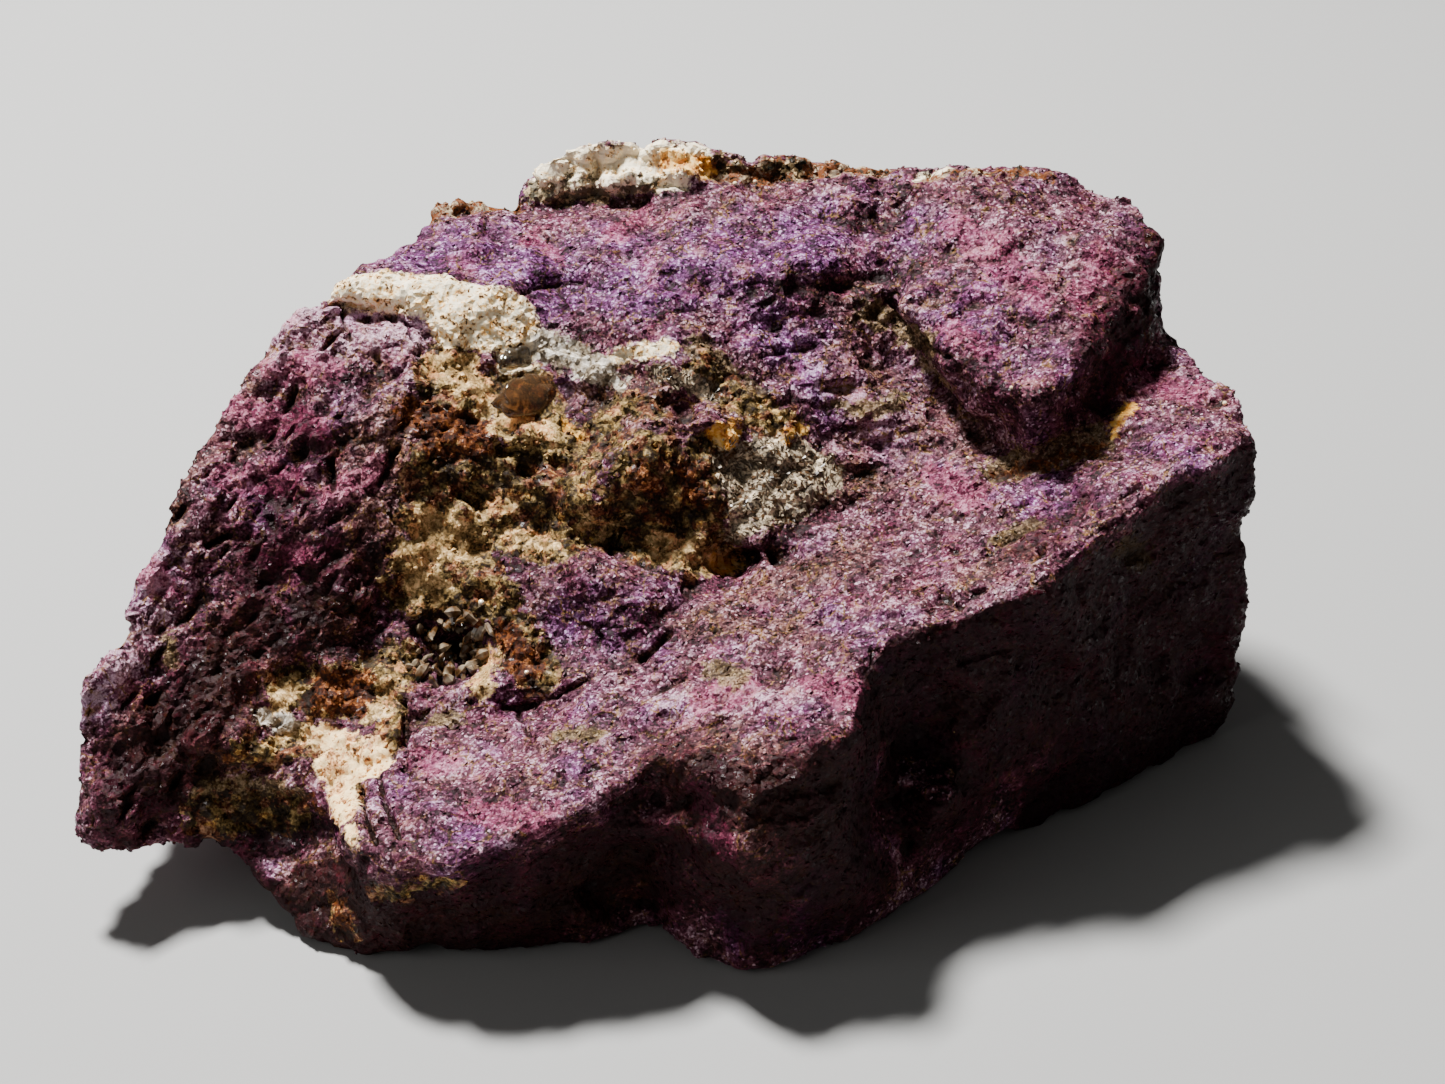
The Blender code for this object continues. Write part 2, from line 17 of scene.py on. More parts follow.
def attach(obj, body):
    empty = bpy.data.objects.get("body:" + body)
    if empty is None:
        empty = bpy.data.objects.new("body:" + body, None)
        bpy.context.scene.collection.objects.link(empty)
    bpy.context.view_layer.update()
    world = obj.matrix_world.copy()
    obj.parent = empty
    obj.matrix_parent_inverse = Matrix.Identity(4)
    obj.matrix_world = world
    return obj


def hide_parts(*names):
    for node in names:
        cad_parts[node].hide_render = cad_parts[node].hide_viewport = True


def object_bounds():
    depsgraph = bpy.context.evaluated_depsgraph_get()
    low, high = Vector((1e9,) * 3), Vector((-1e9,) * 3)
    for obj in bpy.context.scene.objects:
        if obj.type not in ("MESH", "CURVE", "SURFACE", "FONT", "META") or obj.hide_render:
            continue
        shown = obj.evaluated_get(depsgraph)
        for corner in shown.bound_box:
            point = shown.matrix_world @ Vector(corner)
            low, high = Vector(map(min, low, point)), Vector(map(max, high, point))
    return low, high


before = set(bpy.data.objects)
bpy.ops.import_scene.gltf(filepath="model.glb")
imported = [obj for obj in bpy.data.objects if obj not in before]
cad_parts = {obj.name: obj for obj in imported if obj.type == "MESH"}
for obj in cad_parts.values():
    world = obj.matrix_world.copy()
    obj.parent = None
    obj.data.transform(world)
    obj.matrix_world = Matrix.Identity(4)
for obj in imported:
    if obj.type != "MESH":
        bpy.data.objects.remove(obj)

CAD_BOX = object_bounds()
CAD_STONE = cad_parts["purpurite_stone"]
MM = 0.001
SEED = 11

# The picture's view: pixels, degrees and millimetres
PICTURE_WIDTH = 1445
PICTURE_HEIGHT = 1084
FIELD_OF_VIEW_DEG = 30.0
SIGHT_DIP_DEG = 35.0
SIGHT_RANGE = 149.0
SIGHT_CENTRE = Vector((2.255, -0.453, 14.0))

DIP = math.radians(SIGHT_DIP_DEG)
AHEAD = Vector((0.0, math.cos(DIP), -math.sin(DIP)))
ABOVE = Vector((0.0, math.sin(DIP), math.cos(DIP)))
EYE = SIGHT_CENTRE - AHEAD * SIGHT_RANGE
FOCAL_PIXELS = PICTURE_WIDTH / 2 / math.tan(math.radians(FIELD_OF_VIEW_DEG / 2))
HEART = (680, 520)

# Fineness of the stone's surface, in millimetres, and the most triangles that it may have
GRAIN = 0.17
STONE_TRIANGLES = 192000
SPIKE = 0.13

# How far around a worn corner its mesh is smoothed, and in how many rounds
WEAR_REACH = 1.9
WEAR_ROUNDS = 260

# Rounds of smoothing that take away the remesh's steps, and those that tell a small hollow and a wide one
STEP_ROUNDS = 3
HOLLOW_ROUNDS = 12
SUNKEN_ROUNDS = 90

# Below this height in millimetres nothing is raised, so that the stone rests on its flat sole
SOLE = 0.3

# Zones of the stone. Each stroke has a half width in millimetres and runs through places: pixels of the
# picture as pairs, and millimetres as triples on the sides that the picture doesn't show.
FELDSPAR = {
    "ridge tip": (0.7, (338, 292), (354, 282)),
    "ridge crest": (1.25, (354, 290), (400, 292), (440, 294)),
    "ridge shoulder": (1.3, (440, 302), (480, 306), (515, 316)),
    "ridge bend": (1.0, (448, 328), (490, 334), (530, 342)),
    "ridge end": (0.45, (612, 360), (640, 352), (672, 350)),
    "edge of the smoky lens": (0.22, (500, 369), (518, 370), (535, 364)),
}
PEACH = {
    "lobe under the gully": (1.1, (332, 762), (372, 766)),
    "lobe lip": (0.8, (338, 785), (346, 815)),
    "lobe toe": (0.4, (350, 830), (352, 842)),
    "lobe right": (0.5, (372, 742), (386, 765)),
    "gully floor": (0.7, (318, 736), (345, 742)),
}
QUARTZ = {
    "band under the ridge": (0.9, (545, 346), (575, 358), (600, 370)),
    "band end": (0.45, (600, 372), (622, 384)),
    "gully tip": (0.5, (262, 718), (290, 724)),
}
MATRIX = {
    "below the ridge": (1.8, (445, 372), (455, 430)),
    "upper trough": (2.3, (520, 395), (545, 445)),
    "middle trough": (2.2, (440, 475), (500, 480), (560, 500)),
    "mauve lump": (0.9, (610, 405), (655, 410)),
    "granular bank": (1.7, (600, 440), (625, 520)),
    "big lump": (2.2, (650, 460), (660, 510)),
    "right of the big lump": (1.1, (700, 450), (712, 540)),
    "left of the trough": (1.9, (430, 510), (465, 560)),
    "lower trough": (1.6, (500, 530), (560, 540)),
    "trough foot": (1.2, (600, 545), (690, 560)),
    "over the crystal pit": (1.5, (410, 590), (500, 600)),
    "right of the crystal pit": (1.3, (505, 620), (540, 672)),
    "gully top": (1.5, (292, 690), (350, 690), (400, 664)),
    "gully": (1.0, (240, 755), (310, 740), (345, 760), (345, 810)),
    "gully right": (0.8, (392, 690), (388, 735), (375, 760)),
    "above the mica": (1.1, (700, 372), (735, 400), (790, 430)),
    "under the wing tip": (1.2, (205, 815), (290, 815)),
    "under the ledge": (0.7, (380, 893), (450, 884)),
    "left foot": (0.8, (338, 905), (345, 930)),
    "rear crust": (0.8, (-12.5, 17.0, 24.5), (-10.0, 17.8, 23.0)),
    "rear crust middle": (1.5, (-6.5, 18.5, 22.5), (-4.5, 19.0, 23.5)),
    "rear crust low": (1.0, (-3.0, 19.0, 21.0), (-1.0, 19.5, 19.6)),
    "rear crust right": (1.2, (5.0, 19.5, 21.5), (7.5, 19.5, 20.0)),
    "rear crust end": (0.7, (10.0, 19.5, 21.5), (11.5, 19.5, 19.0)),
    "rear lower crust": (1.1, (-8.5, 18.5, 18.5), (-7.0, 18.7, 16.0)),
    "rear lower patch": (1.9, (-2.5, 19.5, 16.0), (0.0, 19.8, 14.0)),
    "rear lower spot": (0.8, (3.5, 20.0, 12.0), (4.5, 20.0, 14.0)),
}
CREAM = {
    "below the ridge": (0.7, (438, 366), (466, 372), (488, 400)),
    "lobe by the lens": (0.5, (505, 420), (548, 432)),
    "pink tan": (1.1, (430, 530), (470, 548)),
    "yellow tan": (1.0, (412, 560), (428, 590)),
    "tan streak": (0.4, (480, 512), (512, 500)),
    "grains in the trough": (0.5, (515, 538), (550, 542)),
    "granular bank": (0.3, (590, 525), (622, 520)),
    "trough foot": (0.9, (670, 552), (722, 566)),
    "by the crystal pit": (0.6, (486, 655), (478, 684)),
    "gully diagonal": (0.4, (378, 708), (388, 690), (402, 664)),
    "gully rim": (0.5, (278, 712), (286, 690)),
    "gully floor": (0.5, (305, 734), (352, 740)),
    "rear crust": (0.6, (-6.0, 18.8, 23.2), (-4.6, 19.0, 23.6)),
    "rear lower patch": (0.7, (-2.2, 19.5, 16.4), (-1.4, 19.6, 15.0)),
}
RUST = {
    "below the ridge": (1.1, (412, 415), (440, 425), (475, 430)),
    "under the tan": (0.6, (430, 448), (480, 450)),
    "big lump": (0.6, (640, 470), (652, 490)),
    "big lump side": (0.6, (685, 470), (700, 500)),
    "by the crystal pit": (0.8, (505, 632), (530, 668)),
    "gully top": (1.3, (318, 690), (362, 694)),
    "wing foot spot": (0.35, (225, 758), (236, 764)),
    "lobe spot": (0.3, (312, 801), (318, 806)),
    "left foot": (0.5, (340, 905), (345, 930)),
    "undercut line": (0.4, (1000, 474), (1050, 462), (1098, 446)),
    "rear crust": (0.6, (-10.5, 18.0, 22.6), (-9.5, 18.0, 21.6)),
    "rear crust right": (0.6, (6.5, 19.5, 20.4), (8.0, 19.5, 19.4)),
}
MICA = {
    "patch": (1.6, (735, 468), (795, 462)),
    "patch foot": (1.1, (745, 500), (785, 505), (825, 475)),
    "patch low": (0.6, (735, 532), (765, 522)),
    "blades": (0.5, (655, 372), (690, 382), (712, 392)),
}
OLIVE = {
    "top of the slope": (0.8, (868, 312), (900, 325), (930, 345)),
    "slope edge": (0.7, (925, 355), (945, 385)),
    "slope spots": (0.4, (835, 405), (880, 412), (905, 395)),
    "shelf spot": (0.7, (716, 668), (736, 680)),
    "ledge streak": (0.5, (560, 735), (600, 733)),
    "ledge patch": (0.6, (435, 722), (455, 718)),
    "undercut": (1.0, (1000, 470), (1050, 455), (1095, 440)),
    "shelf edge": (0.5, (995, 540), (1035, 522)),
    "right face": (0.7, (1122, 545), (1142, 556)),
    "wing spot": (0.4, (168, 640), (172, 662)),
    "wing foot": (1.3, (215, 800), (285, 805)),
    "dark above the mica": (0.9, (700, 350), (735, 385), (760, 410)),
}
OCHRE = {
    "speck": (0.55, (716, 432), (732, 434), (722, 440)),
    "small speck": (0.3, (566, 426), (578, 436)),
    "right speck": (0.35, (788, 436), (802, 428)),
    "trough foot": (0.4, (714, 560), (728, 566)),
    "undercut": (0.35, (1112, 432), (1132, 404)),
    "rim": (0.7, (668, 160), (705, 168)),
}
PINK = {
    "terrace fan": (0.7, (612, 235), (632, 222), (650, 212)),
    "terrace dot": (0.45, (585, 205), (600, 202)),
    "terrace left": (0.5, (528, 238), (540, 228)),
    "terrace left low": (0.5, (548, 250), (560, 258)),
    "terrace edge": (0.4, (832, 285), (848, 290)),
    "knob left": (1.0, (960, 225), (1005, 270)),
    "knob middle": (0.8, (1000, 240), (1040, 305)),
    "knob right": (0.7, (1100, 250), (1080, 300)),
    "knob low": (0.8, (950, 330), (985, 350)),
    "shelf back": (0.8, (930, 470), (975, 500)),
    "shelf front": (1.0, (820, 685), (855, 695)),
    "shelf end": (1.0, (700, 700), (740, 690)),
    "ledge": (0.8, (420, 758), (445, 765)),
    "ledge front": (0.8, (470, 812), (545, 820)),
    "wing": (1.0, (225, 480), (290, 480)),
    "wing high": (0.9, (280, 370), (330, 365)),
    "wing middle": (0.9, (235, 410), (310, 425)),
    "wing right": (0.7, (330, 500), (380, 470)),
    "wing below": (0.5, (270, 560), (330, 545)),
    "wing edge": (0.8, (155, 570), (165, 590)),
    "heel": (1.1, (1150, 380), (1190, 390)),
    "foot": (0.8, (700, 800), (730, 850)),
}
# Dark marks: dark minerals in the crystal pit, and painted shade in cracks, hollows and under overhangs
DARK_PITS_AND_PAINTED_SHADE = {
    "terrace break left": (0.7, (760, 298), (830, 292)),
    "terrace break": (0.8, (870, 285), (900, 278), (925, 268)),
    "terrace seam": (0.8, (850, 218), (895, 225)),
    "rim seam": (0.35, (865, 192), (905, 188)),
    "knob tip": (0.9, (975, 375), (1010, 400)),
    "knob point": (0.5, (1030, 398), (1045, 402)),
    "knob edge": (0.3, (922, 342), (950, 366), (975, 382)),
    "below the ridge crack": (0.5, (335, 378), (395, 372)),
    "wing pit": (0.6, (184, 490), (176, 505)),
    "wing hollow": (0.4, (292, 612), (325, 632)),
    "wing right": (0.6, (375, 545), (385, 570)),
    "pit by the mica": (0.9, (735, 558), (785, 548)),
    "pit edge": (0.6, (790, 540), (822, 510)),
    "crystal pit": (1.3, (430, 625), (475, 635)),
    "crystal pit foot": (1.2, (425, 668), (465, 672)),
    "bump foot": (0.7, (600, 632), (640, 622)),
    "gully hollow": (1.0, (290, 645), (375, 640)),
    "gully glass": (0.7, (316, 690), (364, 692)),
    "mauve lump": (0.4, (600, 440), (660, 448)),
    "below the tan": (0.6, (500, 560), (530, 575)),
    "left of the trough": (0.3, (440, 466), (480, 462)),
    "above the lens": (0.5, (600, 405), (580, 420)),
    "under the wing tip": (1.4, (220, 820), (300, 825)),
}
CAP = {
    "cap": (1.0, (545, 178), (575, 165), (650, 158), (700, 160)),
    "cap face": (0.6, (535, 190), (600, 186), (680, 180)),
    "far patch": (0.4, (920, 176), (945, 172)),
}
CRUST = {
    "left": (0.8, (432, 212), (462, 205), (505, 202)),
    "middle": (0.7, (715, 168), (760, 176)),
    "right": (0.8, (770, 168), (830, 162), (885, 164)),
    "far": (0.35, (925, 178), (1000, 172), (1050, 176)),
}
GREEN_SPECKS = {
    "cap left": (0.6, (530, 186), (550, 196)),
    "cap middle": (0.7, (565, 196), (598, 197)),
    "cap spot": (0.35, (575, 180), (588, 178)),
    "cap right": (0.4, (620, 190), (655, 186)),
    "cap end": (0.4, (712, 160), (740, 168)),
    "right crust": (0.4, (770, 165), (800, 170)),
}
# Where the phosphate is violet rather than dusty mauve
VIOLET_GROUND = {
    "terrace": (4.0, (440, 260), (640, 280), (800, 250)),
    "knob": (2.5, (900, 240), (1000, 330)),
    "shelf right": (1.5, (1060, 520), (1180, 450)),
    "slope": (2.0, (835, 360), (900, 430)),
    "bump": (1.5, (570, 590), (630, 590)),
}
# Where the phosphate is darkened as painted shade, where it is lightened as painted light, and where it is
# stained brown
PAINTED_SHADE = {
    "wing": (1.2, (285, 500), (255, 600), (190, 700)),
    "wing high": (0.7, (300, 425), (322, 440)),
    "gully": (0.8, (275, 628), (300, 615)),
    "wing inside": (1.3, (350, 570), (300, 620)),
    "wing low": (2.6, (215, 690), (160, 750), (150, 775)),
    "wing under": (0.6, (110, 850), (200, 846)),
    "knob side": (1.5, (1112, 350), (1146, 312), (1166, 255)),
    "knob edge": (0.7, (1078, 350), (1105, 318), (1135, 270)),
    "foot": (2.4, (695, 795), (760, 800), (820, 790)),
    "undercut": (0.4, (1020, 430), (1100, 405)),
    "shelf right": (0.5, (1030, 540), (1080, 505)),
}
# The same painted shade, only on sides that are steep
STEEP_PAINTED_SHADE = {
    "front wall": (4.2, (300, 900), (420, 925), (560, 890), (640, 850)),
    "foot": (3.0, (720, 870), (760, 910)),
    "foot side": (4.4, (860, 750), (850, 880)),
    "bite": (5.0, (890, 680), (950, 700), (950, 760)),
    "bulge": (1.0, (920, 840), (990, 790)),
    "flank": (7.0, (1000, 680), (1130, 620), (1200, 560)),
    "flank low": (5.0, (1080, 780), (1200, 700)),
    "flank edge": (3.0, (1245, 480), (1245, 660)),
    "back left": (3.2, (16.0, 19.0, 9.0), (6.0, 20.0, 5.0)),
    "back middle": (4.0, (2.0, 20.0, 7.0), (-8.0, 19.0, 6.0)),
    "right end": (4.0, (31.0, 0.0, 6.0), (30.0, 8.0, 6.0)),
}
# Painted light: the phosphate lightened where light falls on it
PAINTED_LIGHT = {
    "wing top": (2.3, (302, 338), (350, 328), (400, 345)),
    "wing edge": (1.2, (100, 700), (130, 640), (160, 570)),
    "shelf front": (0.8, (660, 700), (790, 695)),
    "ledge": (0.3, (440, 770), (540, 760)),
    "slope": (0.9, (830, 375), (885, 425)),
    "knob": (0.3, (980, 250), (1060, 240)),
}
BROWN_STAIN = {
    "mauve lump": (2.0, (600, 400), (655, 410)),
    "slope": (2.0, (850, 360), (900, 425)),
    "slope foot": (2.2, (830, 470), (950, 440)),
    "shelf back": (1.4, (760, 590), (850, 560)),
    "shelf middle": (1.2, (700, 620), (800, 625)),
    "shelf edge": (1.0, (980, 570), (1080, 510)),
    "foot": (3.0, (700, 770), (790, 800), (760, 880)),
    "wing low": (2.2, (250, 640), (200, 770), (150, 740)),
    "wing inside": (2.0, (390, 430), (370, 560), (330, 620)),
    "wing rim": (0.9, (240, 380), (200, 450), (165, 520)),
    "terrace break": (1.2, (830, 300), (900, 280), (960, 265)),
    "ledge back": (0.8, (560, 735), (600, 730)),
    "front wall": (3.0, (330, 900), (600, 880)),
    "knob seam": (0.8, (880, 270), (930, 350)),
}
# Where the break is coarse and hackly, and where it is fine
COARSE = {
    "wing": (7.0, (300, 380), (230, 560), (150, 740)),
    "wing inside": (3.0, (380, 430), (350, 580)),
}
FINE = {
    "terrace": (4.0, (480, 240), (640, 250), (780, 230)),
    "ledge": (2.0, (450, 770), (540, 770)),
}

# Seats of the clear lumps, where the stone is smooth
SEATS = {
    "amber": (1.1, (520, 391), (556, 396)),
    "smoky": (0.6, (506, 357), (527, 357)),
}

# Corners of the stone that are worn round
WORN = {
    "top of the slope": (1.8, (868, 318), (890, 340), (918, 352)),
    "right of the mica": (2.2, (842, 474), (872, 478)),
    "foot of the slope": (1.0, (905, 470), (950, 462)),
    "face of the cap": (1.2, (536, 186), (600, 182), (700, 172)),
}

# Swells of the stone: half width and height in millimetres, and the places that each runs through
SWELLS = {
    "slope": (1.2, 0.3, (845, 440), (885, 432)),
    "top of the slope": (0.9, 0.25, (885, 316), (914, 334)),
    "trough floor": (1.6, 0.8, (585, 500), (628, 530)),
    "trough left": (1.0, 0.4, (410, 465), (440, 470)),
    "left crust": (0.5, 0.4, (438, 206), (465, 202), (500, 202)),
    "left of the cap": (0.8, 0.5, (546, 186), (574, 184)),
    "middle of the cap": (0.8, 0.5, (612, 182), (640, 180)),
    "right of the cap": (0.7, 0.4, (672, 174), (696, 174)),
}

# Open cracks and gashes: half width and depth in millimetres, and the places that each runs through
GASHES = {
    "under the ridge": (0.18, 0.5, (318, 303), (345, 304), (372, 309)),
    "wing top left": (0.16, 0.5, (342, 308), (347, 325), (350, 340)),
    "wing top right": (0.16, 0.5, (322, 350), (330, 338), (342, 330)),
    "wing top far": (0.14, 0.4, (404, 322), (412, 342)),
    "left of the bump": (0.14, 0.45, (505, 708), (530, 706), (555, 697), (575, 686), (584, 679)),
    "right of the bump": (0.22, 0.6, (640, 657), (655, 645), (668, 633)),
    "ledge groove": (0.14, 0.6, (358, 788), (363, 810), (374, 842)),
    "ledge groove right": (0.14, 0.6, (378, 775), (385, 805), (399, 836)),
    "ledge nick": (0.14, 0.3, (518, 713), (526, 728), (534, 742)),
    "ledge nick left": (0.14, 0.3, (470, 702), (480, 720)),
    "ledge behind the lobe": (0.2, 0.6, (403, 702), (408, 740), (403, 768)),
    "left of the knob": (0.2, 0.6, (893, 292), (906, 316), (924, 338), (946, 358)),
    "terrace break": (0.5, 0.25, (770, 294), (800, 286), (850, 286), (885, 277)),
    "terrace arc": (0.12, 0.16, (518, 297), (536, 288), (560, 285), (582, 282)),
    "terrace arc side": (0.12, 0.16, (558, 289), (568, 306), (578, 324)),
    "terrace left": (0.14, 0.2, (430, 248), (466, 246)),
    "strata by the bite": (0.14, 0.15, (900, 617), (940, 602), (985, 590)),
    "shelf edge": (0.18, 0.2, (1000, 543), (1035, 524)),
    "cap notch": (0.25, 0.5, (592, 150), (597, 172), (592, 192)),
    "cap notch right": (0.22, 0.4, (655, 150), (660, 172)),
    "wing slit": (0.22, 0.6, (208, 546), (228, 534)),
    "wing fissure": (0.22, 0.6, (331, 462), (333, 490)),
    "trough slot": (0.2, 0.7, (458, 493), (480, 506)),
    "trough slot above": (0.14, 0.35, (468, 488), (490, 500)),
    "shelf strata": (0.14, 0.16, (1062, 560), (1100, 532), (1150, 500)),
    "shelf strata above": (0.14, 0.16, (1030, 560), (1090, 515), (1140, 485)),
    "slope line": (0.16, 0.16, (760, 358), (790, 352), (815, 345)),
    "trough pit": (0.35, 0.8, (502, 450), (514, 452)),
    "trough pit right": (0.35, 0.7, (524, 468), (530, 470)),
    "trough pit far": (0.28, 0.6, (554, 461), (557, 464)),
    "pit by the mica": (0.5, 0.9, (738, 560), (775, 556)),
    "ledge pinhole": (0.2, 0.4, (588, 771), (597, 768)),
}

# The zones, by the names that the material reads
ZONES = {
    "feldspar": FELDSPAR, "quartz": QUARTZ, "matrix": MATRIX, "cream": CREAM, "peach": PEACH, "rust": RUST,
    "mica": MICA, "olive": OLIVE, "ochre": OCHRE, "pink": PINK, "pits_and_shade": DARK_PITS_AND_PAINTED_SHADE, "cap": CAP, "crust": CRUST,
    "green": GREEN_SPECKS, "violet": VIOLET_GROUND, "painted_shade": PAINTED_SHADE, "steep painted shade": STEEP_PAINTED_SHADE,
    "stained": BROWN_STAIN, "painted_light": PAINTED_LIGHT,
}
CRYSTAL_PITS = {name: DARK_PITS_AND_PAINTED_SHADE[name] for name in ("crystal pit", "crystal pit foot")}


def sight_line(across, down):
    """Direction from the eye through a pixel of the picture."""
    right = (across - PICTURE_WIDTH / 2) / FOCAL_PIXELS
    up = (PICTURE_HEIGHT / 2 - down) / FOCAL_PIXELS
    return (AHEAD + ABOVE * up + Vector((right, 0.0, 0.0))).normalized()


def stone_tree():
    """The CAD stone, in millimetres, for sight lines to meet."""
    corners = [corner.co / MM for corner in CAD_STONE.data.vertices]
    return BVHTree.FromPolygons(corners, [list(face.vertices) for face in CAD_STONE.data.polygons])


STONE_TREE = stone_tree()


def place(across, down, height=None):
    """The point of the stone that shows at a pixel, or just inside the outline there, in millimetres.

    Given three numbers, they are millimetres, and the nearest point of the stone is meant.
    """
    if height is not None:
        return STONE_TREE.find_nearest(Vector((across, down, height)))[0]
    for percent in range(20):
        share = percent * 0.01
        sight = sight_line(across + (HEART[0] - across) * share, down + (HEART[1] - down) * share)
        hit = STONE_TREE.ray_cast(EYE, sight)[0]
        if hit is not None:
            return hit
    raise ValueError(f"no stone near pixel {across}, {down}")


def gap_to_path(points, stops):
    """Distance of each point from a path through places, in millimetres."""
    path = [place(*stop) for stop in stops]
    nearest = np.full(len(points), np.inf)
    for start, end in zip(path, path[1:]):
        a = np.array(start)
        step = np.array(end) - a
        along = np.clip((points - a) @ step / max(step @ step, 1e-9), 0.0, 1.0)
        gap = np.linalg.norm(points - a - along[:, None] * step, axis=1)
        nearest = np.minimum(nearest, gap)
    return nearest


def depth_inside(points, strokes):
    """How far inside a zone each point lies, in millimetres, down to -2 outside it."""
    inside = np.full(len(points), -2.0)
    for half_width, *stops in strokes.values():
        inside = np.maximum(inside, half_width - gap_to_path(points, stops))
    return inside


def placed(name, data):
    """A new object in the scene, at its origin."""
    piece = bpy.data.objects.new(name, data)
    bpy.context.scene.collection.objects.link(piece)
    return piece


def stone_copy():
    """The CAD stone's surface as one closed mesh of even grain."""
    mesh = CAD_STONE.data.copy()
    shell = bmesh.new()
    shell.from_mesh(mesh)
    bmesh.ops.remove_doubles(shell, verts=shell.verts, dist=0.001 * MM)
    shell.to_mesh(mesh)
    shell.free()
    mesh.materials.clear()
    stone = placed("stone", mesh)
    remesh = stone.modifiers.new("grain", "REMESH")
    remesh.mode = "VOXEL"
    remesh.voxel_size = GRAIN * MM
    settle(stone)
    return stone


def settle(piece):
    """Takes the piece's modifiers into its mesh."""
    bpy.context.view_layer.update()
    graph = bpy.context.evaluated_depsgraph_get()
    mesh = bpy.data.meshes.new_from_object(piece.evaluated_get(graph))
    piece.modifiers.clear()
    piece.data = mesh


def numbers_of(things, name, width=1, kind=np.float32):
    """One property of each of a mesh's points, edges or corners, as an array."""
    flat = np.empty(len(things) * width, dtype=kind)
    things.foreach_get(name, flat)
    return flat.reshape(-1, width) if width > 1 else flat


def points_of(mesh):
    return numbers_of(mesh.vertices, "co", 3).astype(float) / MM


def normals_of(mesh):
    return numbers_of(mesh.vertices, "normal", 3).astype(float)


def move_points(mesh, points):
    mesh.vertices.foreach_set("co", (points * MM).astype(np.float32).ravel())
    mesh.update()


def kept_in_box(points):
    """The points, none of them outside the CAD box."""
    low, high = (np.array(corner) / MM for corner in CAD_BOX)
    return np.clip(points, low, high)


def relaxed(values, edges, rounds):
    """Values at points after each has become the mean of its neighbours, some rounds over."""
    first, second = edges[:, 0], edges[:, 1]
    count = len(values)
    degree = np.maximum(np.bincount(edges.ravel(), minlength=count), 1)
    columns = values.reshape(count, -1).copy()
    for _ in range(rounds):
        for axis in range(columns.shape[1]):
            column = columns[:, axis]
            total = np.bincount(first, column[second], count) + np.bincount(second, column[first], count)
            columns[:, axis] = total / degree
    return columns.reshape(values.shape)


def without_spikes(points, edges):
    """The points, none of them far from the middle of its neighbours."""
    middle = relaxed(points, edges, 2)
    way = points - middle
    reach = np.linalg.norm(way, axis=1)
    return middle + way * np.minimum(1.0, SPIKE / np.maximum(reach, 1e-6))[:, None]


def worn_round(points, edges):
    """The points, with the stone's corners worn round where it is so."""
    depth = depth_inside(points, WORN)
    near = np.flatnonzero(depth > -WEAR_REACH)
    number_near = np.full(len(points), -1)
    number_near[near] = np.arange(len(near))
    edges_near = number_near[edges]
    edges_near = edges_near[(edges_near >= 0).all(axis=1)]
    share = smooth_step(depth[near], -0.2, 1.2)[:, None]
    worn = points.copy()
    worn[near] += (relaxed(points[near], edges_near, WEAR_ROUNDS) - points[near]) * share
    return worn


def smooth_step(values, low, high):
    share = np.clip((values - low) / (high - low), 0.0, 1.0)
    return share * share * (3.0 - 2.0 * share)


# The ways that cleavage runs: nearly the length of the shelf, and up the wing
STREAK = Vector((1.0, 0.23, 0.27)).normalized()
WING_STREAK = (place(330, 430) - place(170, 640)).normalized()


def drawn_out(spot, way, stretch):
    """The spot as it is read for a pattern that comes out long in one way."""
    return spot - way * (spot.dot(way) * (1.0 - 1.0 / stretch))


def facets(spot, size, slope, step=0.0, blend=0.18):
    """Cleavage facets: each cell slopes its own way at its own height, and neighbours meet at an edge."""
    gaps, centres = noise.voronoi(spot / size)
    rises = []
    for centre in centres[:2]:
        lean = noise.noise_vector(centre * 2.3) * slope
        rises.append((spot - centre * size).dot(lean) + noise.noise(centre * 3.7) * step)
    share = 0.5 + 0.5 * min(1.0, (gaps[1] - gaps[0]) / blend)
    return rises[0] * share + rises[1] * (1.0 - share)


def phosphate_relief(spot, way, strength, coarse):
    """A cleaved break, drawn out along its grain, that weathers to hackly lumps where it is coarse."""
    long = drawn_out(spot, way, 1.6)
    rise = facets(long, 2.4, 0.30, 0.25) + facets(long, 0.9, 0.36, 0.22) + 0.6 * facets(spot, 0.5, 0.5, 0.2)
    rise *= strength
    if coarse > 0.05:
        lumps = drawn_out(spot, way, 2.0)
        groove = max(0.0, noise.noise(drawn_out(spot, way, 3.0) / 0.55) - 0.32)
        rise += coarse * (facets(lumps, 1.2, 0.5, 0.4, 0.3) - 1.0 * groove)
    return rise


def feldspar_relief(spot):
    """Blocky cleaved feldspar with worn edges and a few pits."""
    blocks = facets(spot, 1.5, 0.35, 0.2, 0.3) + 0.6 * facets(spot, 0.6, 0.45, 0.1, 0.3)
    pit = max(0.0, noise.noise(spot / 0.55) - 0.5)
    return blocks + 0.5 * facets(spot, 0.34, 0.6, 0.2) - 0.8 * pit


def cap_relief(spot):
    """Lumps of feldspar and quartz, with grains between them."""
    lumps = 0.42 - noise.voronoi(spot / 1.3)[0][0]
    return 0.9 * lumps + 0.5 * facets(spot, 0.6, 0.5, 0.2)


def matrix_relief(spot):
    """Rounded lumps and grains, large and small, with pits between them."""
    lumps = 0.45 - noise.voronoi(spot / 1.5)[0][0]
    grains = 0.45 - noise.voronoi(spot / 0.75)[0][0]
    crumbs = facets(spot, 0.42, 0.6, 0.2)
    pit = max(0.0, noise.noise(spot / 0.7) - 0.44)
    return 0.5 * lumps + 0.38 * grains + 0.5 * crumbs - 1.0 * pit


